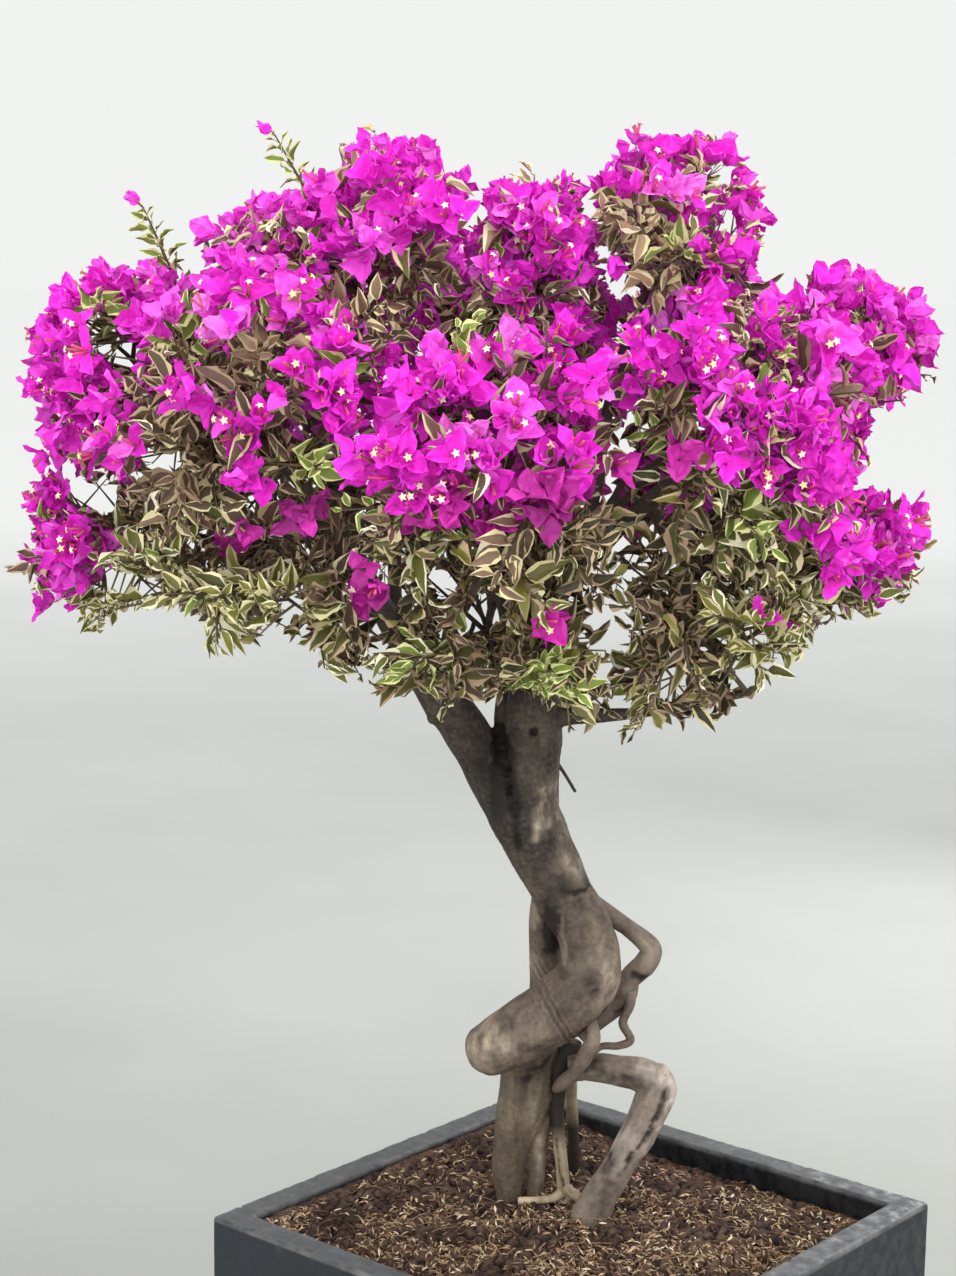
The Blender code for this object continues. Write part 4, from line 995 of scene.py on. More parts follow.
def joined_stems(stems):
    """The stems as tubes closed at both ends, one skin drawn over them all on a grid of voxels
    and eased."""
    rows, faces, first = [], [], 0
    for stations in stems:
        line = smooth_line(stations, SKIN_STEP)
        grid = line[:, None, :3] + spokes_of(line, STEM_SIDES) * line[:, None, 3:4]
        ends = line[[0, -1], :3] + (line[[0, -1], :3] - line[[1, -2], :3]) * 0.5
        faces.append(tube_faces(len(line), STEM_SIDES, first))
        rows.append((np.concatenate([grid.reshape(-1, 3), ends]),))
        first += len(line) * STEM_SIDES + 2
    belts, fans = zip(*faces)
    rough = surface("rough_trunk", joined(rows)[0], belts + fans, [])
    skin = rough.modifiers.new("skin", "REMESH")
    skin.mode = "VOXEL"
    skin.voxel_size = VOXEL
    ease = rough.modifiers.new("ease", "SMOOTH")
    ease.iterations = 7
    ease.factor = 0.6
    mesh = bpy.data.meshes.new_from_object(rough.evaluated_get(bpy.context.evaluated_depsgraph_get()))
    bpy.data.objects.remove(rough)
    return mesh


def fused_trunk():
    """The trunk, its leg, rib and back stem and the boughs at its fork as one skin, raised by
    each stem's own grain, the stems blended by how near they are, and by its grooves, swellings
    and wrinkles: a bell across the thigh's crease times a cosine of how far aside of it."""
    slim = [(*stations[:3], stations[3] * (LOW_BOUGH_SLIM if number else 1.0))
            for number, stations in enumerate(bough_paths["low_bough"])]
    stems = [TRUNK_MAIN, sunk(LEFT_LEG), sunk(LEG_RIB), BACK_STEM]
    stems += [slim if name == "low_bough" else bough_paths[name] for name in FUSED_BOUGHS]
    mesh = joined_stems(stems)
    place = np.empty(len(mesh.vertices) * 3, np.float32)
    normal = np.empty(len(mesh.vertices) * 3, np.float32)
    mesh.vertices.foreach_get("co", place)
    mesh.vertex_normals.foreach_get("vector", normal)
    place, normal = place.reshape(-1, 3).astype(float), normal.reshape(-1, 3).astype(float)
    total, weights, gaps = np.zeros(len(place)), np.zeros(len(place)), []
    for number, stations in enumerate(stems):
        along, offset, gap = places_on(place, smooth_line(stations, 0.008))
        weight = np.exp(-np.clip(gap, 0, 0.1) / STEM_BLEND)
        near = weight > 0.01
        height = grain_relief(along[near], offset[near], place[near], 300 + 10 * number)
        total[near] += height * weight[near]
        weights += weight
        gaps.append(gap)
    square_on = place[:, [0, 2]]
    in_front = np.clip(-normal[:, 1] * 2.5, 0, 1)
    marks = front_marks(place, normal, TRUNK_MARKS) / 1000
    stains_and_light = front_marks(place, normal, TRUNK_STAINS_AND_PAINTED_LIGHT)
    crease_run = unit(WRINKLE_TO - WRINKLE_FROM)
    aside = (square_on - WRINKLE_FROM) @ [crease_run[1], -crease_run[0]] + 0.001 * ripple(place, 0.02, 371)
    near = groove(square_on, WRINKLE_FROM, WRINKLE_TO, WRINKLE_SPREAD)
    marks += in_front * near * WRINKLE_DEPTH * np.cos(2 * np.pi * aside / WRINKLE_PITCH)
    height = total / np.maximum(weights, 1e-6) + marks
    cloudy = 0.55 * np.clip(ripple(place * [1, 1, 0.6], 0.026, 372) - 0.15, 0, 1)
    cloudy *= np.clip((place[:, 2] - 0.6) / 0.1, 0.25, 1)
    place = place + normal * height[:, None]
    mesh.vertices.foreach_set("co", to_world(place).astype(np.float32).ravel())
    mesh.polygons.foreach_set("use_smooth", np.full(len(mesh.polygons), True))
    mesh.update()
    body = bpy.data.objects.new("trunk_bark", mesh)
    bpy.context.scene.collection.objects.link(body)
    mesh.materials.append(trunk_bark)
    second = np.sort(np.abs(gaps), axis=0)[1]
    # painted shade in the hollows where a second stem lies near
    stem_gap_shade = np.clip(1 - second / STEM_GAP_SHADE_WIDTH, 0, 1) * (height < 0.0005)
    # painted shade where the bark is sunk, between the stems and in gouges, and dark cloudy patches
    dark = -height / FUSED_CREASE_SHADE_DEPTH + STEM_GAP_SHADE * stem_gap_shade + cloudy
    dark += np.clip(-marks, 0, 1) / FUSED_GOUGE_SHADE_DEPTH
    up = place[:, 2]
    mark(body, "crease", np.clip(dark + np.clip(stains_and_light, 0, 2), 0, 1))
    mark(body, "pale", np.clip(0.66 - np.abs(up - PALE_AT) / PALE_FADE, 0.12, 1))
    # pale worn patches and painted highlights
    mark(body, "pale_and_highlight", np.clip(-stains_and_light, 0, 1))
    # painted shadow of the crown, high up
    mark(body, "high", np.clip((up - CROWN_SHADOW_FROM) / CROWN_SHADOW_FADE, 0, 1))
    mark(body, "low", np.clip((OLIVE_UNDER - up) / OLIVE_FADE, 0, 1))
    return body


wood = fused_trunk()
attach(wood, "root")
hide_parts("trunk", *FUSED_BOUGHS)

# ================================================================ exposed roots
# Once below ground, now standing on it: a thick leg bent at the knee, a thin arm and forearm
# that hang beside the hip, and the roots between the two legs. Their bark is paler.
RIGHT_LEG_UPPER = metres([
    (-8, 30, 519, 11.5), (12, 30, 521, 11.7), (36, 27, 519, 12.4), (56, 23, 516, 14.3),
    (69, 20, 508, 16.5),
])
RIGHT_LEG_LOWER = metres([
    (69, 20, 508, 16.5), (65, 18, 490, 16.7), (55, 14, 468, 15.8), (40, 10, 442, 14.2),
    (24, 6, 414, 13.8), (13, 5, 390, 17),
])
ARM_ROOT = metres([
    (12, 42, 667, 8), (27, 45, 655, 7.6), (45, 45, 642, 8), (63, 45, 626, 9.5),
])
FOREARM_ROOT = metres([
    (63, 45, 626, 9.5), (59, 45, 611, 10.4), (46, 46, 597, 8.8), (40, 50, 577, 9),
    (20, 50, 559, 8), (3, 49, 542, 8),
])
LOOP_TWIG = metres([
    (46, 40, 575, 4.4), (40, 35, 560, 4), (47, 34, 545, 4), (36, 35, 539, 3.4), (22, 36, 538, 3),
])
INNER_ROOT = metres([
    (-6, 46, 540, 10), (-15, 45, 510, 10.7), (-18, 45, 480, 9), (-14, 42, 450, 6.3),
    (-11, 40, 420, 5.8), (-9, 40, 390, 6.3),
])
CURVED_ROOT = metres([
    (12, -12, 562, 6), (6, -6, 545, 6.6), (0, 4, 530, 6.6), (-12, 18, 510, 6),
])
BACK_ROOT = metres([
    (-3, 60, 512, 5.4), (-3, 80, 483, 5.4), (0, 97, 440, 5.1), (3, 108, 390, 5.2),
])
FOOT_Z = SOIL_TOP + GAP  # the flat cut under every stem and root
FOOT_ROOT = [
    (-0.05, 0.028, FOOT_Z + 0.0036, 0.0032), (-0.034, 0.029, FOOT_Z + 0.004, 0.0036),
    (-0.019, 0.033, FOOT_Z + 0.0046, 0.004), (-0.01, 0.036, FOOT_Z + 0.009, 0.0044),
]
TOE_ROOT = metres([
    (-8, 30, 408.5, 4.4), (1, 24, 403.5, 4.4), (12, 17, 398.5, 4.4),
])
STUB_TWIG = metres([
    (-26, 38, 798, 2), (-16, 42, 783, 1.8), (-6, 46, 766, 1.6),
])
leg_bark = bark_finish("leg_bark", (106, 92, 80), (142, 128, 115), (202, 191, 179), (40, 32, 28))
arm_bark = bark_finish("arm_bark", (92, 80, 71), (120, 106, 95), (168, 154, 138), (36, 29, 25))
pale_bark = bark_finish("pale_bark", (126, 110, 88), (162, 145, 120), (208, 195, 170), (26, 20, 16))
# Gouges and a nub on the front of the right leg, as the trunk's marks.
LEG_MARKS = [
    (78.5, 508, 76.2, 502, 2.4, -2), (73.5, 497, 72.8, 493, 1.5, -1.8),
    (70.8, 489, 67.5, 482, 2.4, -2.4), (65.5, 477, 64.8, 474, 1.3, -1.4),
    (62.8, 470, 59.5, 463, 2.1, -2), (56, 460, 53, 457, 1.7, -1.6), (48, 452, 46.2, 446, 2, -2),
    (43.5, 442, 42, 438, 1.4, -1.2), (29, 460, 27, 446, 1.5, -1), (56, 488, 50, 472, 1.6, 1),
    (35, 430, 30, 415, 2, 1.2), (74, 525, 74.5, 527, 4.6, 7), (86, 505, 62, 450, 4, 1.2),
]
# Pale patches that are painted highlights on the right leg's knee and edge, and two darker patches, as the
# trunk's stains.
LEG_HIGHLIGHTS_AND_DARK_PATCHES = [
    (56, 524, 76, 514, 7.5, -0.85), (84, 508, 70, 474, 4.2, -0.8), (74, 518, 78, 503, 7, -0.55),
    (6, 524, 43, 516, 10, 0.7), (32, 434, 18, 396, 13, 0.62),
]
ARM_MARKS = [
    (48, 604, 60, 600, 3, -1.6), (33, 566, 46, 572, 1.8, -0.8),
]
INNER_MARKS = [
    (-16, 450, -9, 395, 1.6, -0.8),
]
HAND_SWELL = (1.0, 1.0, 1.12, 1.22, 1.22, 1.1)  # how much thicker the forearm's stations are
hand = [(*station[:3], station[3] * swell) for station, swell in zip(FOREARM_ROOT, HAND_SWELL)]
# Each root: the nodes it stands for, its stations, its sides, its bark, how rough it is, its
# marks, its stains and painted highlights, and the heights between which painted shade darkens
# it. Two run on into what they grow from.
ROOTS = {
    "right_leg": (["right_leg_upper", "right_leg_lower"], sunk(RIGHT_LEG_UPPER + RIGHT_LEG_LOWER[1:]),
                  30, leg_bark, 1.5, LEG_MARKS, LEG_HIGHLIGHTS_AND_DARK_PATCHES, None),
    "arm_and_forearm": (["arm_root", "forearm_root"], ARM_ROOT + hand[1:], 22, arm_bark, 0.9,
                        ARM_MARKS, (), None),
    "loop_twig_bark": (["loop_twig"], [(0.046, 0.046, 0.592, 0.0058), *LOOP_TWIG,
                                       (0.012, 0.033, 0.531, 0.002)], 14, arm_bark, 0.6, (), (), None),
    "inner_root_bark": (["inner_root"], sunk(INNER_ROOT), 20, pale_bark, 1.1, INNER_MARKS, (),
                        (0.44, 0.462)),
    "curved_root_bark": (["curved_root"], [(0.009, 0.004, 0.574, 0.0056), *CURVED_ROOT,
                                           (-0.018, 0.03, 0.5, 0.004)],
                         18, arm_bark, 0.8, (), (), None),
    "back_root_bark": (["back_root"], sunk(BACK_ROOT), 16, pale_bark, 0.8, (), (), (0.468, 0.44)),
    "foot_root_bark": (["foot_root"], FOOT_ROOT, 14, pale_bark, 0.6, (), (), None),
    "toe_root_bark": (["toe_root"], TOE_ROOT, 14, pale_bark, 0.6, (), (), None),
    "stub_twig_bark": (["stub_twig"], STUB_TWIG, 8, brown_bark, 0.3, (), (), None),
}
ROOT_RING = 0.0016  # between the rings of their bark
for number, (name, (nodes, stations, sides, bark, rough, marks, stains_and_light, dark)) in enumerate(ROOTS.items()):
    root = limb_skin(name, stations, sides, bark, 500 + 10 * number, rough, 0.8, ROOT_RING, marks,
                     stains_and_light, dark)
    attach(root, "root")
    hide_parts(*nodes)

# ================================================================ crown
# Sixteen masses of foliage, each grown from the tip of its bough: a stem that forks to twigs,
# shoots that carry leaves all round them and, in the sun, spurs that each end in a blossom.

# Long shoots that stand out of the masses and give the outline its furthest tips.
LEADERS = {
    "far_left_high": [(-0.47, 0.03, 1.17), (-0.378, 0.02, 1.294), (-0.46, 0.03, 1.214)],
    "far_left_low": [(-0.488, 0.0, 1.03), (-0.452, 0.02, 0.912)],
    "top_left": [(-0.284, 0.04, 1.35), (-0.17, 0.03, 1.34)],
    "centre_high": [(-0.04, 0.06, 1.3)],
    "top_right": [(0.04, 0.03, 1.33), (0.111, 0.04, 1.35)],
    "right_high": [(0.295, 0.03, 1.172), (0.225, 0.02, 1.235), (0.28, 0.03, 1.218)],
    "right_low": [(0.292, 0.02, 1.015), (0.245, 0.0, 0.928)],
    "front_left_low": [(-0.32, -0.12, 0.905)],
    "front_right_low": [(0.128, -0.1, 0.88)],
}
LEADER_BACK = 0.03  # a leader's twig ends this far short of its place
# Hollows in the masses, kept free of shoots.
POCKETS = [
    ((0.148, 0.03, 1.245), 0.04),
    ((0.3, 0.03, 1.085), 0.038),
    ((-0.335, 0.02, 1.06), 0.03),
]
# The crown's outline as it is seen from the front, in the plane w = 0, clockwise from its
# left end: (u, z). Foliage in front of or behind that plane is measured along the line of sight.
CROWN_OUTLINE = metres([
    (-491, 1027), (-472, 1061), (-460, 1084), (-487, 1119), (-464, 1139), (-477, 1166),
    (-451, 1207), (-401, 1226), (-377, 1239), (-327, 1264), (-282, 1266), (-243, 1270),
    (-235, 1296), (-208, 1302), (-194, 1330), (-175, 1343), (-138, 1334), (-120, 1307),
    (-87, 1301), (-31, 1294), (-5, 1295), (11, 1314), (35, 1334), (82, 1341), (116, 1348),
    (134, 1318), (148, 1290), (140, 1272), (161, 1248), (135, 1235), (117, 1220), (123, 1205),
    (162, 1208), (173, 1233), (202, 1240), (236, 1228), (266, 1211), (298, 1180), (295, 1152),
    (257, 1118), (229, 1111), (229, 1081), (216, 1056), (234, 1034), (265, 1040), (296, 1022),
    (275, 979), (267, 955), (246, 939), (217, 942), (180, 911), (132, 865), (107, 839), (3, 836),
    (-23, 855), (-91, 859), (-125, 853), (-159, 861), (-222, 877), (-218, 902), (-281, 920),
    (-303, 897), (-330, 924), (-370, 935), (-417, 919), (-447, 914), (-470, 936), (-485, 954),
    (-471, 982), (-483, 1003),
])
EYE = np.array([-0.093, -2.087, 1.259])  # where the outline is seen from
# Gaps between the sprays where the sky is seen through the crown from there: (u, z), radius.
SKY_GAPS = metres([
    (-410, 1159, 11.8), (-390, 1141, 10.1), (-363, 1057, 8.4), (-350, 1055, 7.6),
    (-429, 1026, 8.4), (-409, 1021, 9.2), (-408, 955, 7.6), (-389, 951, 7.6), (-370, 949, 6.7),
    (-283, 1019, 5), (-125, 958, 6.7), (-93, 926, 10.1), (94, 1294, 8.4), (108, 1259, 7.6),
    (215, 1188, 5.9), (71, 875, 10.9), (106, 904, 8.4), (24, 906, 6.7), (140, 915, 6.7),
    (-83, 935, 10.1), (-251, 935, 6.7), (125, 883, 7.6),
])
SKY_GAP_EXTRA = 0.003  # what the gaps are wider by, for blades that reach in
FULLNESS = 3.0  # a mass's corners, between 2 for an ellipsoid and 4 for nearly a box
RAGGED_SHARE = 0.36  # how unevenly a mass ends, against its size
RAGGED_OUTLINE = 0.016  # how unevenly the outline itself runs
RAGGED_SIZE = 0.05
# The lowest height that blooms at each u, as it is seen from the front.
BLOOM_FLOOR = metres([
    (-500, 930), (-440, 945), (-395, 985), (-370, 1100), (-300, 1105), (-200, 1090), (-160, 1055),
    (-135, 1010), (-50, 1000), (20, 1010), (50, 1035), (100, 1050), (155, 1045), (175, 1010),
    (210, 1000), (235, 955), (300, 930),
])
# Sprays of leaves among the blooms, as seen: (u, z), radius.
LEAFY_PATCHES = metres([
    (-290, 1240, 20), (-149, 1192, 34), (-125, 1172, 30), (44, 1232, 36), (20, 1255, 24),
    (58, 1092, 36), (-340, 1150, 22), (-10, 1190, 22), (-352, 1086, 24), (-290, 1140, 26),
    (-328, 1115, 28), (110, 1165, 20), (-281, 1136, 34), (-235, 1083, 16), (6, 1078, 18),
    (-360, 1110, 16), (-238, 1110, 16), (-96, 1086, 12), (-30, 1105, 10), (-336, 1075, 16),
    (-218, 1068, 22), (-195, 1137, 18), (-188, 1083, 14),
])
# Sprays of young leaves, plain bright green or with broad yellow margins.
FRESH_PATCHES = metres([
    (-32, 880, 26), (56, 1087, 18), (0, 862, 14), (-150, 880, 14), (111, 1335, 30),
    (150, 975, 18), (-116, 1166, 18), (-232, 1046, 12), (-207, 1044, 12), (32, 1170, 14),
    (-130, 1290, 12),
])
# Sprays of bloom low among the leaves.
LOW_BLOOMS = metres([
    (-338, 1119, 14), (-293, 1078, 16), (-283, 1038, 13), (-254, 1116, 9), (-207, 1111, 18),
    (-165, 1112, 18), (-190, 1060, 14), (-165, 1054, 12), (-117, 1026, 17), (-242, 1014, 13),
    (-294, 989, 16), (-271, 979, 15), (-189, 950, 17), (-149, 951, 15), (-226, 915, 13),
    (-163, 910, 10), (-303, 910, 11), (-447, 932, 12), (-425, 958, 10), (219, 971, 22),
    (245, 967, 18), (207, 958, 13), (154, 921, 15), (133, 910, 8), (-45, 986, 13), (-41, 923, 8),
    (264, 1019, 17), (-328, 1110, 13), (125, 1060, 22), (201, 1052, 24), (188, 1104, 18),
    (158, 1092, 18), (60, 1048, 12), (106, 1100, 12), (-167, 913, 13),
])
SEED = 11
TIPS = 104  # shoots on each mass, besides its leaders
TIP_POOL = 2200
TIP_DEPTHS = (0.3, 1.0)  # of the shoots' ends, as a share of the way out of the mass
TIP_INWARD = -0.45
PATCH_FRONT = 0.02  # the sprays in LOW_BLOOMS end nearer to the front than this
TIP_CLEAR = 0.01  # kept between a tip and a limb
FORK_PLACES = (0.16, 0.34)
STEM_RUN = 0.022
STEM_OVERLAP = 0.004  # of the bough's tip and the stem on it
TWIG_RADIUS = 0.00095
TWIG_SWELL = 0.34
TWIG_RINGS = 6
TWIG_SIDES = 4
TWIG_BEND = 0.13  # of a twig's length, to one side
TWIG_MARGIN = 0.002
MAIN_FEEDS = 6
BARE_RUN = 0.115  # leaves stand on this last stretch of a shoot
LEAF_GAP = 0.0068  # between the leaves along a shoot
LEAF_LENGTHS = (0.018, 0.034)
LEAF_WIDTH = 0.45  # of its length
LEAF_OPEN = np.radians(62.0)  # between a leaf and its twig
LEAF_STALK = 0.009
YOUNG_RUN = 0.045  # leaves grow to their full size over this last stretch
YOUNG_SIZE = 0.55  # from this share of it
LEADER_SIZE = 0.7  # of a leader's leaves, against the others
TURN_STEP = np.radians(137.5)
TURN_RETRY = np.radians(67.0)
BLADE_TRIES = 6
SMALLER_AFTER = 3  # tries, counted from 0
LIMB_MARGIN = 0.0035
LIGHT = (0.5, 0.7, 0.2)  # out of the crown, sideways out, and up
LEAF_WOBBLE = 0.75
SPURS = 7  # blossoms on a shoot in bloom
SPUR_RUN = 0.08  # the last stretch of the shoot, that they stand on
SPUR_LENGTHS = (0.01, 0.025)
BRACT_LENGTHS = (0.0175, 0.0255)
BRACT_WIDTH = 0.74
BRACT_OPEN = np.radians(52.0)
BUD_LENGTH = 0.014
BUD_STALK = 0.005
BLOSSOM_CLEAR = 0.014  # between a blossom's middle and a limb
FLOWERING = 0.45  # share of the blossoms whose flowers are out
TUBE_LENGTHS = (0.013, 0.019)
TUBE_RADIUS = 0.001
LEADER_GAP = 0.55  # how much closer a leader's leaves stand
BOX_ROOM = 0.024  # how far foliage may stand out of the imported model's box
FRESH_SHARE = 0.05  # of the sprays in the sun
FRESH_SUN = 0.6
FRESH_FRONT = 0.1  # their patches hold for shoots this far back
LEAFY_GAPS = 0.4  # chance relief above this leaves a gap without blossoms, low in the crown
LEAFY_GAP_SIZE = 0.05
LEAFY_GAPS_BELOW = 1.19
SPUR_DROP = 0.016  # how far below the bloom's floor a blossom may hang
# The lowest height of brown leaves at each u, as it is seen from the front; they are green
# below it and tan above TAN_FROM. The browns are painted shade and the tans painted pink light
# from the blossoms.
BROWN_FLOOR = metres([
    (-500, 990), (-400, 985), (-300, 955), (-100, 955), (-20, 1000), (50, 1070), (200, 1070),
    (300, 1000),
])
TAN_FROM = 1.19
UNDER_CENTRE = -0.06  # the crown is in its own shade below, this far from this u
UNDER_HALF = 0.13
FRESH_GREEN = 6  # the finishes of young leaves, middle and margin
FRESH_CREAM = 5
THICK_TWIG = 0.0016  # twigs thicker than this are brown, thin ones purple from PURPLE_FROM up
PURPLE_FROM = 1.2
PINK_FROM = 1.14  # blossoms above this are of the brighter pinks, painted light
BARE_ENDS = 2  # a shoot that bears fewer leaves and blossoms than this is left out
BLOOM_LEAF_STOP = 0.032  # a shoot in bloom bears no leaves on this last stretch
BLOOM_LEAF_SPREAD = 1.35  # how much further apart its leaves stand
BLOOM_BLUR = 0.03
BLOOM_CHANCES = (0.86, 0.42)  # of a shoot above the bloom's floor, in the sun and in shade
BLOOM_SUN = 0.3
BLOOM_MORE = 0.4  # added to a mass's share in bloom
PATCHES_FRONT = 0.08  # shoots this far back are settled by the patches
LOW_BLOOM_SUN = 0.2
GAP_CHANCE = 0.12  # what is left of the chance in a leafy gap
LEAFY_SHRINK = 0.006  # how much smaller the leafy patches are for a single blossom
LEAFY_FRONT = 0.06  # they hold for blossoms this far back
WIDE_PATCH = 0.0165  # patches wider than this end three shoots, the others one
LEVEL_BLUR = 0.018  # how unevenly the crown's shades change with height
CROWN_REACH = (0.38, 0.36, 0.37)  # from its heart to its sunny side
CROWN_FOOT = 0.86
CROWN_HEIGHT = 0.48
IN_SUN = 0.35  # sprays with less sun than this are in shade
UNDER_DIM = 0.92  # share of the sprays under the crown that are in shade
OWN_MIDDLES = 0.25  # shares of leaves that differ from their spray
OWN_MARGINS = 0.2
BRACT_SPREAD = (0.38, 1.42)  # how far a blossom opens, against BRACT_OPEN
BUD_SPREAD = 0.22
SHADE_STEPS = (0.7, 0.2, 0.1)  # chances of a bract to be none, one or two shades on
FLOWER_CHANCES = (1.0, 0.4, 0.2)  # of a first, second and third flower in a blossom
STAR_RADII = (0.0036, 0.0018, 0.0013)  # of a star's lobes, between them, and of a shut one
STALK_RADII = (0.0006, 0.0007, 0.0013)  # of a leaf's, a blossom's and a bud's

# A leaf is an ovate blade and a bract a rounder one, cupped the other way. Each: its rows from
# foot to tip, half its width at each, its columns from edge to edge, its width as a share of its
# length, and how far it is folded up along the midrib, arched down, waved and creased.
LEAF = (np.array([0.1, 0.26, 0.46, 0.66, 0.85]), np.array([0.55, 0.92, 1.0, 0.8, 0.42]),
        np.array([-1.0, -0.6, 0.0, 0.6, 1.0]), LEAF_WIDTH, 0.85, 0.24, 0.09, 0.016)
BRACT = (np.array([0.08, 0.32, 0.6, 0.84]), np.array([0.64, 1.0, 0.88, 0.44]),
         np.array([-1.0, -0.5, 0.0, 0.5, 1.0]), BRACT_WIDTH, 0.5, -0.08, 0.085, 0.042)
# The leaves' middles and margins, the bracts, and the tubes and stars of the small flowers.
# Some greens and creams are darker copies that paint shade, the browns and tans paint shade and
# the blossoms' pink light, and the palest pinks are painted highlights.
GREENS = [(124, 124, 54), (98, 102, 46), (108, 104, 60), (74, 74, 40), (84, 66, 52), (58, 55, 37),
          (118, 136, 60), (124, 98, 80), (166, 138, 110), (96, 70, 60), (66, 47, 43)]
CREAMS = [(232, 224, 180), (218, 208, 160), (194, 172, 136), (156, 132, 104), (240, 234, 202),
          (220, 221, 156)]
PINKS = [(234, 58, 216), (230, 48, 208), (222, 44, 198), (238, 88, 222), (210, 38, 184),
         (238, 118, 224)]
PAINTED_SHADE_PINKS = [(184, 46, 152), (204, 50, 170), (160, 40, 130)]  # painted shade, for the blossoms under the crown
SHADE_PINKS_BELOW = 1.035
SHADE_PINKS_SPAN = (-0.34, 0.06)
# The finishes of a spray's leaves, their middles and their margins, in the sun and in shade,
# the shaded ones darker copies of painted shade: low in the crown, in its brown middle and at
# its top.
LEAF_SHADES = [
    (([0, 1, 1, 2, 0], [0, 1, 4]), ([3, 5, 5, 4], [2, 3, 3])),
    (([7, 9, 9, 4], [2, 3, 3, 1]), ([10, 9, 4], [3, 3, 2])),
    (([7, 8, 2, 8], [0, 1, 0]), ([9, 7, 10], [2, 1])),
]
TUBES = [(214, 84, 128), (186, 96, 98)]
STARS = [(246, 238, 196), (236, 222, 150)]
BRIGHT_SHARES = (0.34, 0.26, 0.06, 0.26, 0.02, 0.06)  # of the pinks, in the sun and below it
DEEP_SHARES = (0.27, 0.26, 0.21, 0.1, 0.14, 0.02)
TWIG_SHADES = {"brown": ((84, 70, 58), 0.75), "green": ((116, 104, 72), 0.6),
               "purple": ((120, 96, 98), 0.6)}


def blade_faces(form):
    """A blade's quads and the fans to its two end points, which come last, and the column that
    each of these faces lies in."""
    rows, columns = len(form[0]), len(form[2])
    side = np.arange(columns - 1)
    last, base = (rows - 1) * columns, rows * columns
    foot = np.stack([side + 1, side, np.full(columns - 1, base)], axis=1)
    point = np.stack([last + side, last + side + 1, np.full(columns - 1, base + 1)], axis=1)
    shapes = [sheet_faces(rows, columns), np.concatenate([foot, point])]
    return shapes, [np.tile(side, rows - 1), np.tile(side, 2)]


def blades(base, along, face, length, form, rng):
    """A sheet for each blade: t runs along it and s across. Its place is base + along L t
    + across W s h(t) + face (fold |s| h + wave sin(9 t + 2 s) |s| - arch t^2 + crease)."""
    rows, halves, columns, width, fold, arch, wave, crease = form
    count = len(base)
    along, face = along[:, None, None], face[:, None, None]
    across = np.cross(along, face)
    length = length[:, None, None, None]
    t = rows[None, :, None, None]
    s = np.broadcast_to(columns[None, None, :, None], (count, len(rows), len(columns), 1)).copy()
    inner = (np.abs(s) > 0) & (np.abs(s) < 1)
    s[inner] *= rng.uniform(0.7, 1.35, inner.sum())
    half = halves[None, :, None, None] * width / 2 * rng.uniform(0.85, 1.12, (count, 1, 1, 1))
    half = half * (1 + 0.1 * rng.normal(size=s.shape) * (np.abs(s) > 0.9))
    fold = fold * rng.uniform(0.3, 1.8, (count, 1, 1, 1))
    arch = arch * rng.normal(1.0, 0.8, (count, 1, 1, 1))
    turn = rng.uniform(0, 2 * np.pi, (count, 1, 1, 1))
    waved = wave * np.sin(9 * t + 2 * s + turn) * np.abs(s)
    creased = crease * rng.normal(size=s.shape)
    up = (fold * np.abs(s) * half + waved - arch * t**2 + creased) * length
    bend = 0.1 * rng.normal(size=(count, 1, 1, 1)) * t**2 * length
    foot = base[:, None, None]
    grid = foot + along * t * length + across * (s * half * length + bend) + face * up
    tip = foot + along * length + across * (bend[:, -1:, :1] * 1.25) - face * arch * length
    return np.concatenate([part.reshape(count, -1, 3) for part in (grid, foot, tip)], axis=1)


def as_seen(points):
    """Where the line of sight to each point meets the plane w = 0: its u and z there."""
    share = EYE[1] / (EYE[1] - points[..., 1:2])
    return EYE[[0, 2]] + (points[..., [0, 2]] - EYE[[0, 2]]) * share


def in_outline(points):
    """Whether each point is seen inside the crown's outline: a level line from it crosses the
    outline an odd number of times."""
    spot = as_seen(points)[..., None, :]
    start = np.array(CROWN_OUTLINE)
    stop = np.roll(start, -1, axis=0)
    spans = (start[:, 1] > spot[..., 1]) != (stop[:, 1] > spot[..., 1])
    rise = np.where(stop[:, 1] == start[:, 1], 1.0, stop[:, 1] - start[:, 1])
    crossing = start[:, 0] + (stop[:, 0] - start[:, 0]) * (spot[..., 1] - start[:, 1]) / rise
    return (spans & (spot[..., 0] < crossing)).sum(axis=-1) % 2 == 1


def in_box(points):
    """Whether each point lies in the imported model's box, or no more than BOX_ROOM out of it."""
    world = points @ TO_WORLD.T
    low, high = np.array(cad_box[0]) - BOX_ROOM, np.array(cad_box[1]) + BOX_ROOM
    return ((world > low) & (world < high)).all(axis=-1)


def in_patches(spots, patches, extra=0.0):
    """Whether each seen place lies in one of the round patches."""
    inside = np.zeros(spots.shape[:-1], bool)
    for *middle, radius in patches:
        inside |= np.linalg.norm(spots - middle, axis=-1) < radius + extra
    return inside


def in_mass(name, points, free=False, pad=0.0):
    """Whether each point lies in a mass's room, its corners filled out, and in the outline."""
    local = np.abs((points - np.array(MASSES[name][0])) / MASSES[name][1])
    uneven = ripple(points, RAGGED_SIZE, 601, 12)
    full = (local**FULLNESS).sum(axis=-1) <= 1 + RAGGED_SHARE * uneven
    nudge = np.stack([uneven, uneven * 0, ripple(points, RAGGED_SIZE, 602, 12)], axis=-1)
    full &= in_outline(points + RAGGED_OUTLINE * nudge)
    full &= ~in_patches(as_seen(points), SKY_GAPS, SKY_GAP_EXTRA)
    return in_space(name, points, free=True, pad=pad) & (full | free) & in_box(points)


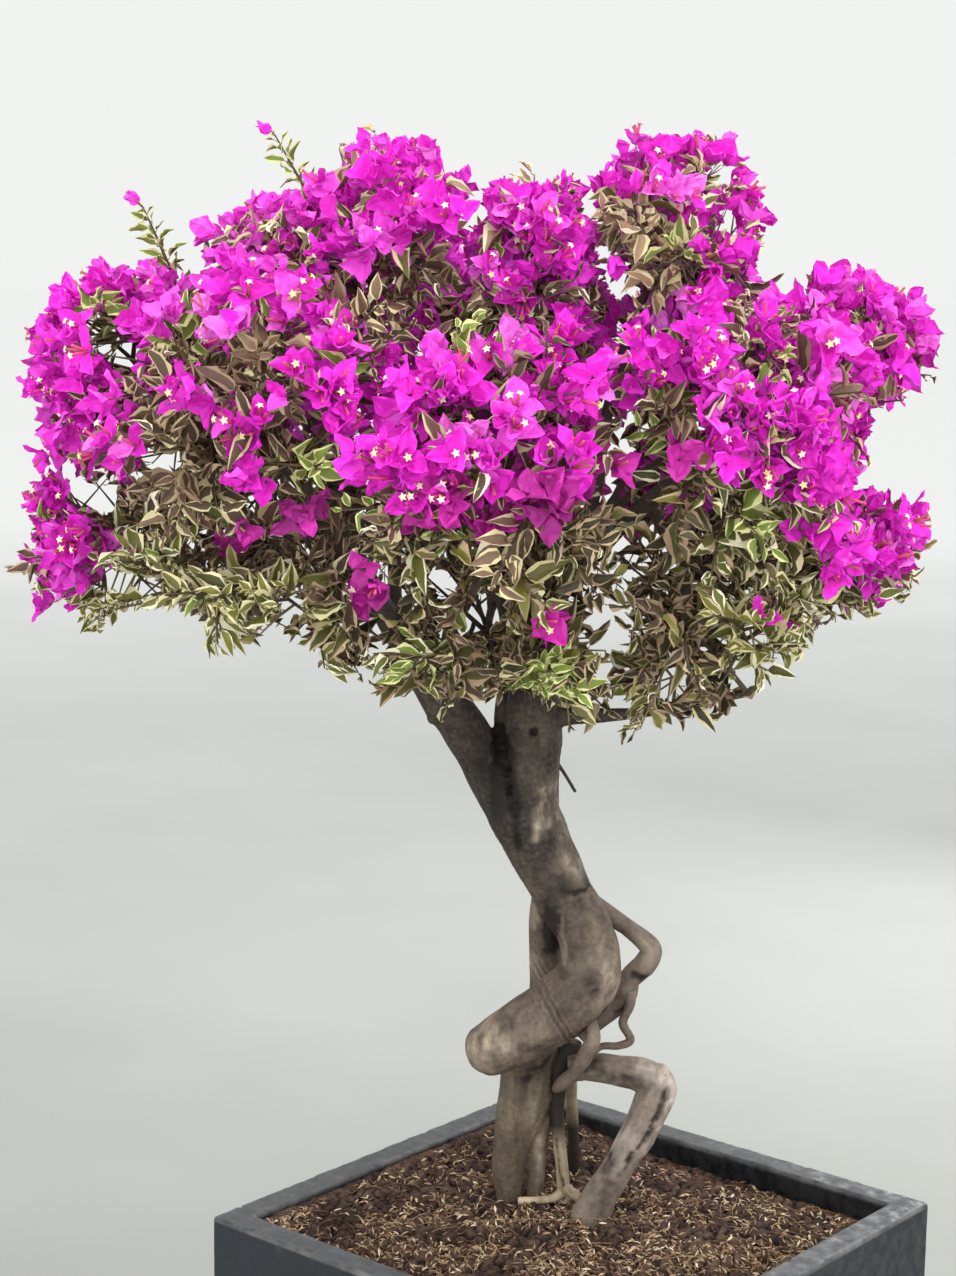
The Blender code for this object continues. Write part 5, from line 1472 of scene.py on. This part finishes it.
def bloom_chance(name, points, sun):
    """How likely a shoot is to bloom: certain well above the bloom's floor, none well below it,
    less in the shade, and settled by the patches in the crown's front half."""
    spots = as_seen(points)
    u, z = np.array(BLOOM_FLOOR).T
    above = np.clip((spots[:, 1] - np.interp(spots[:, 0], u, z)) / BLOOM_BLUR + 0.5, 0, 1)
    gaps = (ripple(points, LEAFY_GAP_SIZE, 603) > LEAFY_GAPS) & (points[:, 2] < LEAFY_GAPS_BELOW)
    above = np.where(gaps, GAP_CHANCE * above, above)
    chance = above * min(1.0, MASSES[name][2] + BLOOM_MORE) * np.where(sun > BLOOM_SUN, *BLOOM_CHANCES)
    front = points[:, 1] < PATCHES_FRONT
    chance = np.where(front & in_patches(spots, LEAFY_PATCHES), 0.0, chance)
    return np.where(front & in_patches(spots, LOW_BLOOMS) & (sun > LOW_BLOOM_SUN), 1.0, chance)


def limb_clearance(points, segments):
    """The least clearance of each point from a set of tapering limb segments."""
    starts, spans, radii = segments
    parts = np.array_split(points, max(1, len(points) // 4000))
    return np.concatenate([(from_segments(part, starts, spans)[2] - radii).min(axis=1)
                           for part in parts])


def limb_segments(skip_tip_of):
    """All limbs as segments with radii, without the last stretch of one bough."""
    rows = []
    for name, line in limb_lines.items():
        part = line[:-1] if name == skip_tip_of else line
        rows.append((part[:-1, :3], np.diff(part[:, :3], axis=0), np.maximum(part[:-1, 3], part[1:, 3])))
    return joined(rows)


def spread_tips(name, segments, rng):
    """Tips spread evenly through the outer part of a mass, each as far as can be from the rest.
    The sprays of bloom low in the crown get theirs first, towards the front."""
    centre, reach = np.array(MASSES[name][0]), np.array(MASSES[name][1])
    out = unit(centre - HEART)
    way = unit(rng.normal(size=(TIP_POOL * 6, 3)))
    depth = rng.uniform(TIP_DEPTHS[0] ** 2, TIP_DEPTHS[1] ** 2, (len(way), 1)) ** 0.5
    pool = centre + way * reach * depth
    keep = (way @ out > TIP_INWARD) & in_mass(name, pool, pad=TWIG_PAD)
    for pocket, radius in POCKETS:
        keep &= np.linalg.norm(pool - pocket, axis=1) > radius
    pool = pool[keep][:TIP_POOL]
    pool = pool[limb_clearance(pool, segments) > TIP_CLEAR]
    seen = as_seen(pool)
    chosen = [int(np.argmax((pool - centre) @ out))]
    for patch in LOW_BLOOMS:
        near = np.flatnonzero(in_patches(seen, [patch]) & (pool[:, 1] < PATCH_FRONT))
        front_first = near[np.argsort(pool[near, 1])].tolist()
        chosen += front_first[:7:3] if patch[-1] > WIDE_PATCH else front_first[:1]
    chosen = list(dict.fromkeys(chosen))
    gaps = np.linalg.norm(pool[:, None] - pool[chosen], axis=2).min(axis=1)
    for lead in LEADERS.get(name, []):
        gaps = np.minimum(gaps, np.linalg.norm(pool - lead, axis=1))
    while len(chosen) < min(TIPS, len(pool)):
        chosen.append(int(np.argmax(gaps)))
        gaps = np.minimum(gaps, np.linalg.norm(pool - pool[chosen[-1]], axis=1))
    return [(pool[i], False) for i in chosen]


def bent(start, middle, end, share):
    """The place on a twig's arc at a share of the way along it."""
    return start * (1 - share) ** 2 + 2 * middle * share * (1 - share) + end * share**2


def run_of(start, middle, end, share):
    """The way that a twig's arc runs at a share of the way along it."""
    return unit((middle - start) * (1 - share) + (end - middle) * share)


def branch(start, tips, twigs, name, rng):
    """One twig runs from a start to the farthest tip; each half of the rest springs from it."""
    ahead = int(np.argmax([np.linalg.norm(tip[0] - start) for tip in tips]))
    end = tips[ahead][0]
    span = np.linalg.norm(end - start)
    middle = (start + end) / 2 + rng.normal(size=3) * TWIG_BEND * span * 0.5 + UP * TWIG_BEND * span * 0.4
    if not in_mass(name, middle, pad=TWIG_PAD):
        middle = (start + end) / 2
    twigs.append((start, middle, end, len(tips), tips[ahead][1]))
    rest = tips[:ahead] + tips[ahead + 1 :]
    if not rest:
        return
    places = np.array([other[0] for other in rest])
    spread = places - places.mean(axis=0)
    axis = np.linalg.svd(spread)[2][0] if len(rest) > 1 else UP
    order = np.argsort(spread @ axis)
    halves = [order[: (len(rest) + 1) // 2], order[(len(rest) + 1) // 2 :]]
    for share, half in zip(FORK_PLACES, halves):
        if len(half):
            branch(bent(start, middle, end, share), [rest[i] for i in half], twigs, name, rng)


def light_at(points):
    """The way that blades at these places face: out of the crown, most of all sideways."""
    out = points - HEART
    return unit(LIGHT[0] * unit(out) + LIGHT[1] * unit(out * [1, 1, 0.001]) + LIGHT[2] * UP)


def round_run(run, turn):
    """The way out from each run, square to it and turned about it."""
    across, beside = square_frame(run)
    return turned(across, beside, turn[:, None])


def keeps_clear(name, free, base, along, across, length, width, segments):
    """Whether five points of each blade stay in the mass's room and off the limbs."""
    reach = length[:, None]
    spots = [base, base + along * reach, base + along * reach * 0.5]
    spots += [base + along * reach * 0.45 + side * across * width * reach / 2 for side in (-1, 1)]
    clear = np.ones(len(base), bool)
    for spot in spots:
        clear &= in_mass(name, spot, free)
        clear &= limb_clearance(spot, segments) > LIMB_MARGIN
    return clear


def set_leaves(name, nodes, runs, free, sizes, segments, rng):
    """Leaves that leave their shoots each at its own turn and face the light. One with no room
    is turned and tried again, smaller in the end, then left out."""
    count = len(nodes)
    turn = rng.uniform(0, 2 * np.pi) + np.arange(count) * TURN_STEP
    light = light_at(nodes)
    face_wobble = rng.normal(size=(count, 3)) * LEAF_WOBBLE
    opening = (LEAF_OPEN * rng.uniform(0.6, 1.25, count))[:, None]
    base, along, face = np.zeros((3, count, 3))
    done = np.zeros(count, bool)
    for attempt in range(BLADE_TRIES):
        way = round_run(runs, turn + attempt * TURN_RETRY)
        heading = unit(turned(runs, way, opening) + light * 0.25)
        facing = light + face_wobble
        facing = unit(facing - heading * (heading * facing).sum(axis=1, keepdims=True))
        foot = nodes + unit(way + runs * 0.6) * LEAF_STALK * (sizes / 0.04)[:, None]
        fits = keeps_clear(name, free, foot, heading, np.cross(heading, facing), sizes, LEAF_WIDTH, segments)
        fits &= ~done
        base[fits], along[fits], face[fits] = foot[fits], heading[fits], facing[fits]
        done |= fits
        if attempt == SMALLER_AFTER:
            sizes = np.where(done, sizes, sizes * 0.72)
    return done, base, along, face, sizes


leaf_finishes = plain_finishes("leaf_green", GREENS, 0.46, 0.001, 170.0)
leaf_finishes += plain_finishes("leaf_cream", CREAMS, 0.5, 0.001, 170.0)
bract_finishes = plain_finishes("bract", PINKS + PAINTED_SHADE_PINKS, 0.6, 0.0016, 150.0)
flower_finishes = plain_finishes("flower_tube", TUBES, 0.55) + plain_finishes("flower_star", STARS, 0.55)
twig_finishes = [plain_finish("twig_" + name, *shade) for name, shade in TWIG_SHADES.items()]


def leaves_piece(name, base, along, face, sizes, greens, creams, rng):
    """All leaves of a mass as one piece: their outer columns take their margins' finish."""
    points = blades(base, along, face, sizes, LEAF, rng)
    shapes, face_columns = blade_faces(LEAF)
    tints = []
    for columns in face_columns:
        margin = (columns == 0) | (columns == len(LEAF[2]) - 2)
        tints.append(np.where(margin[None], len(GREENS) + creams[:, None], greens[:, None]))
    return many("leaves_" + name, [(to_world(points), shapes, tints)], leaf_finishes)


def bracts_piece(name, middle, axis, sizes, shades, bud, rng):
    """Three cupped bracts a third of a turn apart round each blossom's axis, as one piece for
    a mass. A bract may take a shade next to its blossom's own."""
    first = rng.uniform(0, 2 * np.pi, len(middle))
    spread = np.where(bud, BUD_SPREAD, rng.uniform(*BRACT_SPREAD, len(middle)))
    first_shade = np.where(shades < len(PINKS), 0, len(PINKS))
    count = np.where(shades < len(PINKS), len(PINKS), len(PAINTED_SHADE_PINKS))
    rows = []
    for third in range(3):
        way = round_run(axis, first + third * 2 * np.pi / 3 + rng.normal(0, 0.12, len(middle)))
        opening = (BRACT_OPEN * spread * rng.uniform(0.8, 1.2, len(middle)))[:, None]
        along = turned(axis, way, opening)
        face = np.sin(opening) * axis - np.cos(opening) * way
        length = sizes * rng.uniform(0.9, 1.08, len(middle))
        step = rng.choice(3, len(middle), p=SHADE_STEPS)
        shade = first_shade + (shades - first_shade + step) % count
        rows.append((middle + way * 0.0012, along, face, length, shade))
    base, along, face, length, shade = joined(rows)
    points = to_world(blades(base, along, face, length, BRACT, rng))
    return many("bracts_" + name, [(points, blade_faces(BRACT)[0], shade)], bract_finishes, False)


def flowers_piece(name, middle, axis, rng):
    """One to three thin tubes in each blossom, half of them opened into a five-lobed star: a
    ring of ten points, every other one further out."""
    first = rng.uniform(0, 2 * np.pi, len(middle))
    rows = []
    for third, chance in enumerate(FLOWER_CHANCES):
        some = rng.random(len(middle)) < chance
        way = round_run(axis[some], (first + third * 2 * np.pi / 3)[some])
        run = unit(axis[some] + way * rng.uniform(0.18, 0.45, (len(way), 1)))
        rows.append((middle[some], run, rng.random(len(way)) < 0.5))
    start, run, is_open = joined(rows)
    end = start + run * rng.uniform(*TUBE_LENGTHS, len(start))[:, None]
    side, other = square_frame(run)
    tube = arc_tubes(start, (start + end) / 2, end, np.full(len(start), TUBE_RADIUS), 2, 4, 1.15)
    turn = (np.arange(10) * np.pi / 5)[:, None]
    outer = np.arange(10) % 2 == 0
    tip, notch, shut = STAR_RADII
    lobes = np.where(is_open[:, None], np.where(outer, tip, notch)[None], shut)[..., None]
    star = turned(side[:, None], other[:, None], turn) * lobes
    star = end[:, None] + star + run[:, None] * np.where(outer, 0.0002, 0.0009)[None, :, None]
    eye = (end + run * np.where(is_open, 0.0004, 0.0022)[:, None])[:, None]
    points = np.concatenate([tube, star, eye], axis=1)
    petals = fan(tube.shape[1] + np.arange(10), points.shape[1] - 1)
    tube_shade = rng.choice(2, len(start))
    star_shade = np.where(is_open, 2 + (rng.random(len(start)) < 0.35), tube_shade)
    family = (to_world(points), [*tube_faces(2, 4), petals], [tube_shade, tube_shade, star_shade])
    return many("flowers_" + name, [family], flower_finishes)


def sun_on(points, rng):
    """0 for sprays deep in the crown or low on it, 1 for those out in the sun."""
    out = np.linalg.norm((points - HEART) / CROWN_REACH, axis=1)
    height = (points[:, 2] - CROWN_FOOT) / CROWN_HEIGHT
    return np.clip(0.9 * (out - 0.55) / 0.4 + 0.25 * (height - 0.5) + rng.normal(0, 0.16, len(points)), 0, 1)


def grow_twigs(name, line, segments, rng):
    """A mass's twigs as arcs, from start past middle to end: they fork from the bough's tip out
    to the tips and are thicker the more tips they feed. Thin ones that would touch a limb are
    left out. Gives their arcs, radii, the tips they feed and whether they are leaders; the stem
    on the bough's tip comes last."""
    run = unit(line[-1, :3] - line[-2, :3])
    foot = line[-1, :3] - run * STEM_OVERLAP
    first = line[-1, :3] + run * STEM_RUN
    tips = spread_tips(name, segments, rng)
    for lead in LEADERS.get(name, []):
        if in_space(name, lead, free=True, pad=TWIG_PAD):
            lead = np.array(lead)
            tips.append((lead - unit(lead - MASSES[name][0]) * LEADER_BACK, True))
    twigs = []
    branch(first, tips, twigs, name, rng)
    start, middle, end, fed, leads = [np.array(column) for column in zip(*twigs)]
    radius = np.minimum(TWIG_RADIUS * fed**TWIG_SWELL, line[-1, 3] * 0.8)
    clear = np.ones(len(twigs), bool)
    for share in np.linspace(0.12, 1, 8):
        clear &= limb_clearance(bent(start, middle, end, share), segments) > radius + TWIG_MARGIN
    keep = clear | (fed >= MAIN_FEEDS)
    stem = (foot, (foot + first) / 2, first + run * STEM_OVERLAP, line[-1, 3] * 0.92, len(tips), False)
    grown = zip((start, middle, end, radius, fed, leads), stem)
    return [np.concatenate([values[keep], [last]]) for values, last in grown]


def leaf_places(start, middle, end, leads, in_bloom, rng):
    """Leaf places every LEAF_GAP or so along the last stretch of each shoot, with smaller leaves
    towards its tip: the place, the shoot's run there, the leaf's size, the shoot's number and
    how far along it the leaf stands."""
    rows = []
    for i in range(len(end) - 1):
        span = np.linalg.norm(end[i] - start[i])
        gap = LEAF_GAP * rng.uniform(0.8, 1.25)
        gap *= BLOOM_LEAF_SPREAD if in_bloom[i] else LEADER_GAP if leads[i] else 1.0
        nearest = BLOOM_LEAF_STOP if in_bloom[i] else 0.001
        back = np.arange(nearest, max(min(span * 0.9, BARE_RUN), 0.024), gap)
        back = back[back < span]
        share = (1 - back / span)[:, None]
        arc = (start[i], middle[i], end[i], share)
        young = YOUNG_SIZE + (1 - YOUNG_SIZE) * np.clip(back / YOUNG_RUN, 0, 1)
        size = rng.uniform(*LEAF_LENGTHS, len(back)) * young * (LEADER_SIZE if leads[i] else 1.0)
        rows.append((bent(*arc), run_of(*arc), size, np.full(len(back), i), share[:, 0]))
    return joined(rows)


def spur_places(start, middle, end, leads, bearing, rng):
    """Spurs on the shoots that bear blossoms, one at the tip and the rest along the last stretch,
    each turned on from the one before and lifted to the light: their starts and ends, the
    shoot's number and how far along it they stand. A leader ends in one bud."""
    rows = [(np.zeros((0, 3)), np.zeros((0, 3)), np.zeros(0, int), np.zeros(0))]
    for i in np.flatnonzero(bearing):
        span = np.linalg.norm(end[i] - start[i])
        furthest = max(min(SPUR_RUN, span * 0.9), 0.008)
        back = np.concatenate([[0.0], rng.uniform(0.006, furthest, SPURS - 1)])
        if leads[i]:
            back = back[:1]
        share = (1 - back / span)[:, None]
        arc = (start[i], middle[i], end[i], share)
        place, run = bent(*arc), run_of(*arc)
        way = round_run(run, rng.uniform(0, 2 * np.pi) + np.arange(len(back)) * TURN_STEP)
        way[0] = 0
        heading = unit(run + 0.9 * way + 0.7 * light_at(place))
        stalk = BUD_STALK if leads[i] else rng.uniform(*SPUR_LENGTHS, (len(back), 1))
        rows.append((place, place + heading * stalk, np.full(len(back), i), share[:, 0]))
    return joined(rows)


def with_room(name, spur_end, axis, size, segments):
    """Whether each blossom has room: five points of it lie in the mass, its middle is clear of
    the limbs, and it is above the bloom's floor and out of the leafy patches, or in a patch of
    bloom."""
    fits = in_mass(name, spur_end) & in_mass(name, spur_end + axis * size[:, None] * 0.75)
    across, beside = square_frame(axis)
    for way in (across, -across, beside, -beside):
        fits &= in_mass(name, spur_end + (axis * 0.6 + way * 0.55) * size[:, None], pad=-0.004)
    fits &= limb_clearance(spur_end + axis * size[:, None] * 0.4, segments) > BLOSSOM_CLEAR
    spots = as_seen(spur_end)
    u, z = np.array(BLOOM_FLOOR).T
    low_bloom = in_patches(spots, LOW_BLOOMS)
    fits &= (spots[:, 1] > np.interp(spots[:, 0], u, z) - SPUR_DROP) | low_bloom
    leafy = in_patches(spots, LEAFY_PATCHES, -LEAFY_SHRINK) & ~low_bloom
    return fits & ~(leafy & (spur_end[:, 1] < LEAFY_FRONT))


def bloom_shades(sun, seen, level, rng):
    """The pink of each shoot's blossoms: brighter copies painted for the sun high up, deeper ones
    below, and painted shade under the crown."""
    count = len(sun)
    bright = rng.choice(len(PINKS), count, p=BRIGHT_SHARES)
    deep = rng.choice(len(PINKS), count, p=DEEP_SHARES)
    shades = np.where((sun > IN_SUN) & (level > PINK_FROM), bright, deep)
    shade_pink = len(PINKS) + rng.choice(len(PAINTED_SHADE_PINKS), count)
    under = (level < SHADE_PINKS_BELOW) & (seen[:, 0] > SHADE_PINKS_SPAN[0]) & (seen[:, 0] < SHADE_PINKS_SPAN[1])
    return np.where(under, shade_pink, shades)


def leaf_shades(end, seen, level, sun, fresh, owner, rng):
    """The finishes of each leaf's middle and margin: those of its spray, which depend on how
    high and how shaded the spray is, but for a share of leaves that have their own."""
    u, z = np.array(BROWN_FLOOR).T
    zone = np.where(level > TAN_FROM, 2, np.where(level > np.interp(seen[:, 0], u, z), 1, 0))
    under = (np.abs(end[:, 0] - UNDER_CENTRE) < UNDER_HALF) & (zone == 0)
    dim = (sun < IN_SUN) | (under & (rng.random(len(end)) < UNDER_DIM))
    greens, creams = np.full(len(end), FRESH_GREEN), np.full(len(end), FRESH_CREAM)
    for number, shades in enumerate(LEAF_SHADES):
        for shaded, (middles, margins) in enumerate(shades):
            here = (zone == number) & (dim == bool(shaded)) & ~fresh
            greens[here] = rng.choice(middles, here.sum())
            creams[here] = rng.choice(margins, here.sum())
    count = len(owner)
    swap = (rng.random(count) < OWN_MIDDLES) & (zone[owner] == 0) & ~fresh[owner]
    green = np.where(swap, rng.choice([0, 1, 2, 3], count), greens[owner])
    other = (rng.random(count) < OWN_MARGINS) & ~fresh[owner]
    return green, np.where(other, rng.choice([1, 2, 4], count), creams[owner])


def stalks(start, end, radius):
    """Thin spindles of one ring of three points, for leaf stalks and spurs, sagging a little."""
    middle = (start + end) / 2 - [0, 0, 0.0008]
    side, other = square_frame(unit(end - start))
    turn = (np.arange(3) * 2 * np.pi / 3)[:, None]
    ring = middle[:, None] + turned(side[:, None], other[:, None], turn) * radius[:, None, None]
    return np.concatenate([ring, start[:, None], end[:, None]], axis=1)


def grow_mass(number, name, bough):
    """The whole of one mass: its stem, twigs, leaves and blossoms, as four pieces or fewer."""
    rng = np.random.default_rng(SEED + number)
    segments = limb_segments(bough)
    start, middle, end, radius, fed, leads = grow_twigs(name, limb_lines[bough], segments, rng)
    is_stem = np.arange(len(end)) == len(end) - 1
    sun = np.append(sun_on(end[:-1], rng), 0)
    in_bloom = (rng.random(len(end)) < bloom_chance(name, end, sun)) & ~is_stem & ~leads
    seen = as_seen(end)
    level = seen[:, 1] + rng.normal(0, LEVEL_BLUR, len(end))
    fresh = in_patches(seen, FRESH_PATCHES) & (end[:, 1] < FRESH_FRONT)
    fresh |= leads | ((rng.random(len(end)) < FRESH_SHARE) & (sun > FRESH_SUN))

    node, run, size, twig, share = leaf_places(start, middle, end, leads, in_bloom, rng)
    done, base, along, face, size = set_leaves(name, node, run, leads[twig], size, segments, rng)
    node, base, along, face, size, owner, share = [
        values[done] for values in (node, base, along, face, size, twig, share)]

    bearing = in_bloom | (leads & (end[:, 2] > BLOOM_FLOOR[0][1]))
    spurs = spur_places(start, middle, end, leads, bearing, rng)
    spur_end = spurs[1]
    pieces = []
    axis = unit(spur_end - spurs[0]) + 0.5 * light_at(spur_end) + rng.normal(0, 0.36, spur_end.shape)
    axis = unit(axis)
    bud = leads[spurs[2]]
    length = np.where(bud, BUD_LENGTH, rng.uniform(*BRACT_LENGTHS, len(axis)))
    fits = with_room(name, spur_end, axis, length, segments) | bud
    spur_start, spur_end, spur_twig, spur_share, axis, length, bud = [
        values[fits] for values in (*spurs, axis, length, bud)]
    shades = bloom_shades(sun, seen, level, rng)[spur_twig] if bearing.any() else spur_twig
    if len(axis):
        pieces.append((bracts_piece(name, spur_end, axis, length, shades, bud, rng), "bracts"))
    out = ~bud & (rng.random(len(bud)) < FLOWERING)
    if out.any():
        pieces.append((flowers_piece(name, spur_end[out], axis[out], rng), "bracts"))

    green, cream = leaf_shades(end, seen, level, sun, fresh, owner, rng)
    pieces.append((leaves_piece(name, base, along, face, size, green, cream, rng), "leaves"))

    # Each shoot ends at the last leaf or blossom that it bears; thin bare ones are left out.
    borne = np.bincount(owner, minlength=len(end)) + 2 * np.bincount(spur_twig, minlength=len(end))
    cut = np.full(len(end), FORK_PLACES[1] + 0.03)
    np.maximum.at(cut, owner, share)
    np.maximum.at(cut, spur_twig, spur_share)
    cut = np.where(is_stem, 1.0, np.minimum(cut, 1.0))[:, None]
    middle, end = start + (middle - start) * cut, bent(start, middle, end, cut)
    kept = (fed > 2) | (borne >= BARE_ENDS)
    start, middle, end, radius = start[kept], middle[kept], end[kept], radius[kept]
    taper = np.clip(TWIG_RADIUS * 0.62 / radius, 0.16, 1)
    taper[-1] = 0.9
    tubes = arc_tubes(start, middle, end, radius, TWIG_RINGS, TWIG_SIDES, taper)
    shade = np.where(radius > THICK_TWIG, 0, np.where(end[:, 2] > PURPLE_FROM, 2, 1))
    stalk_start = np.concatenate([node, spur_start])
    stalk_end = np.concatenate([base + along * 0.001, spur_end])
    of_leaf, of_blossom, of_bud = STALK_RADII
    stalk_radius = np.concatenate([np.full(len(node), of_leaf), np.where(bud, of_bud, of_blossom)])
    thin = stalks(stalk_start, stalk_end, stalk_radius)
    families = [(to_world(tubes), tube_faces(TWIG_RINGS, TWIG_SIDES), shade),
                (to_world(thin), tube_faces(1, 3)[1:], np.where(stalk_start[:, 2] > PURPLE_FROM, 2, 1))]
    pieces.append((many("twigs_" + name, families, twig_finishes), "bark"))
    return pieces


carried = {entry[2]: name for name, entry in BOUGHS.items()}
for number, name in enumerate(MASSES):
    for piece, slot in grow_mass(number, name, carried[name]):
        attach(piece, "root")
        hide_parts(name)

# ================================================================ stage
# A pale floor and soft studio light stand round the plant. The camera looks from the front,
# level with the planter's rim turned corner-on, and slightly down.
FLOOR_RADIUS = 40.0
FLOOR_NEAR = (146, 147, 142)
FLOOR_FAR = (252, 253, 252)
FLOOR_FADE = (1.0, 9.0)
LENS = 70.53
CAMERA_DOWN = 9.53
CAMERA_ROLL = 0.84


def floor():
    """A flat disc in rings that widen outward, in plain pale paint."""
    finish, shader, place = material("pale_floor", 0.9)
    reach = node(place, "VectorMath", {0: place}, operation="LENGTH")
    away = ramp(reach.outputs["Value"], *FLOOR_FADE)
    soft = calculate("MULTIPLY", noise(place, 1.5, 2.0), 0.15)
    colour = blend_colours(calculate("ADD", away, soft), paint(*FLOOR_NEAR), paint(*FLOOR_FAR))
    feed(shader.inputs["Base Color"], colour)
    turn = np.linspace(0, 2 * np.pi, 96, endpoint=False)
    radii = FLOOR_RADIUS * np.linspace(0.02, 1, 12)[::-1] ** 2
    grid = radii[:, None, None] * np.stack([np.cos(turn), np.sin(turn), turn * 0], axis=1)
    points = np.concatenate([grid.reshape(-1, 3), [[0, 0, 0]]]) - [0, 0, 0.0005]
    hub = fan((len(radii) - 1) * len(turn) + np.arange(len(turn)), len(points) - 1)
    return surface("floor", points, [belt_faces(len(radii), len(turn)), hub], [finish])


floor()

# Each lamp: its place in the plant's frame, its power and its size.
LAMPS = {
    "key_light": ((1.7, -1.5, 3.2), 32.0, 2.0),
    "top_light": ((0.1, 0.3, 3.6), 48.0, 3.4),
    "front_light": ((-0.1, -2.9, 1.6), 43.0, 2.6),
    "side_light": ((2.5, -0.6, 1.2), 13.0, 1.2),
    "fill_light": ((-2.4, -1.8, 1.4), 26.0, 2.4),
    "back_light": ((1.4, 2.2, 1.6), 30.0, 1.8),
}
LAMPS_FACE = Vector((0, 0, 0.9))
turn_plant = Matrix.Rotation(PLANT_TURN, 4, "Z")
for name, (place, power, size) in LAMPS.items():
    lamp = bpy.data.lights.new(name, "AREA")
    lamp.energy = power
    lamp.size = size
    light = bpy.data.objects.new(name, lamp)
    light.visible_camera = False
    bpy.context.scene.collection.objects.link(light)
    light.location = turn_plant @ Vector(place)
    light.rotation_euler = (light.location - LAMPS_FACE).to_track_quat("Z", "Y").to_euler()
world = bpy.data.worlds.new("studio")
world.use_nodes = True
world.node_tree.nodes["Background"].inputs["Color"].default_value = (0.8, 0.81, 0.8, 1)
world.node_tree.nodes["Background"].inputs["Strength"].default_value = 1.1
bpy.context.scene.world = world
bpy.context.scene.view_settings.view_transform = "Standard"

lens = bpy.data.cameras.new("camera")
lens.lens = LENS
lens.sensor_width = 36.0
lens.clip_start = 0.05
lens.clip_end = 200.0
camera = bpy.data.objects.new("camera", lens)
bpy.context.scene.collection.objects.link(camera)
camera.location = turn_plant @ Vector(EYE)
level = turn_plant @ Matrix.Rotation(np.radians(90 - CAMERA_DOWN), 4, "X")
camera.rotation_euler = (level @ Matrix.Rotation(np.radians(CAMERA_ROLL), 4, "Z")).to_euler()
bpy.context.scene.camera = camera
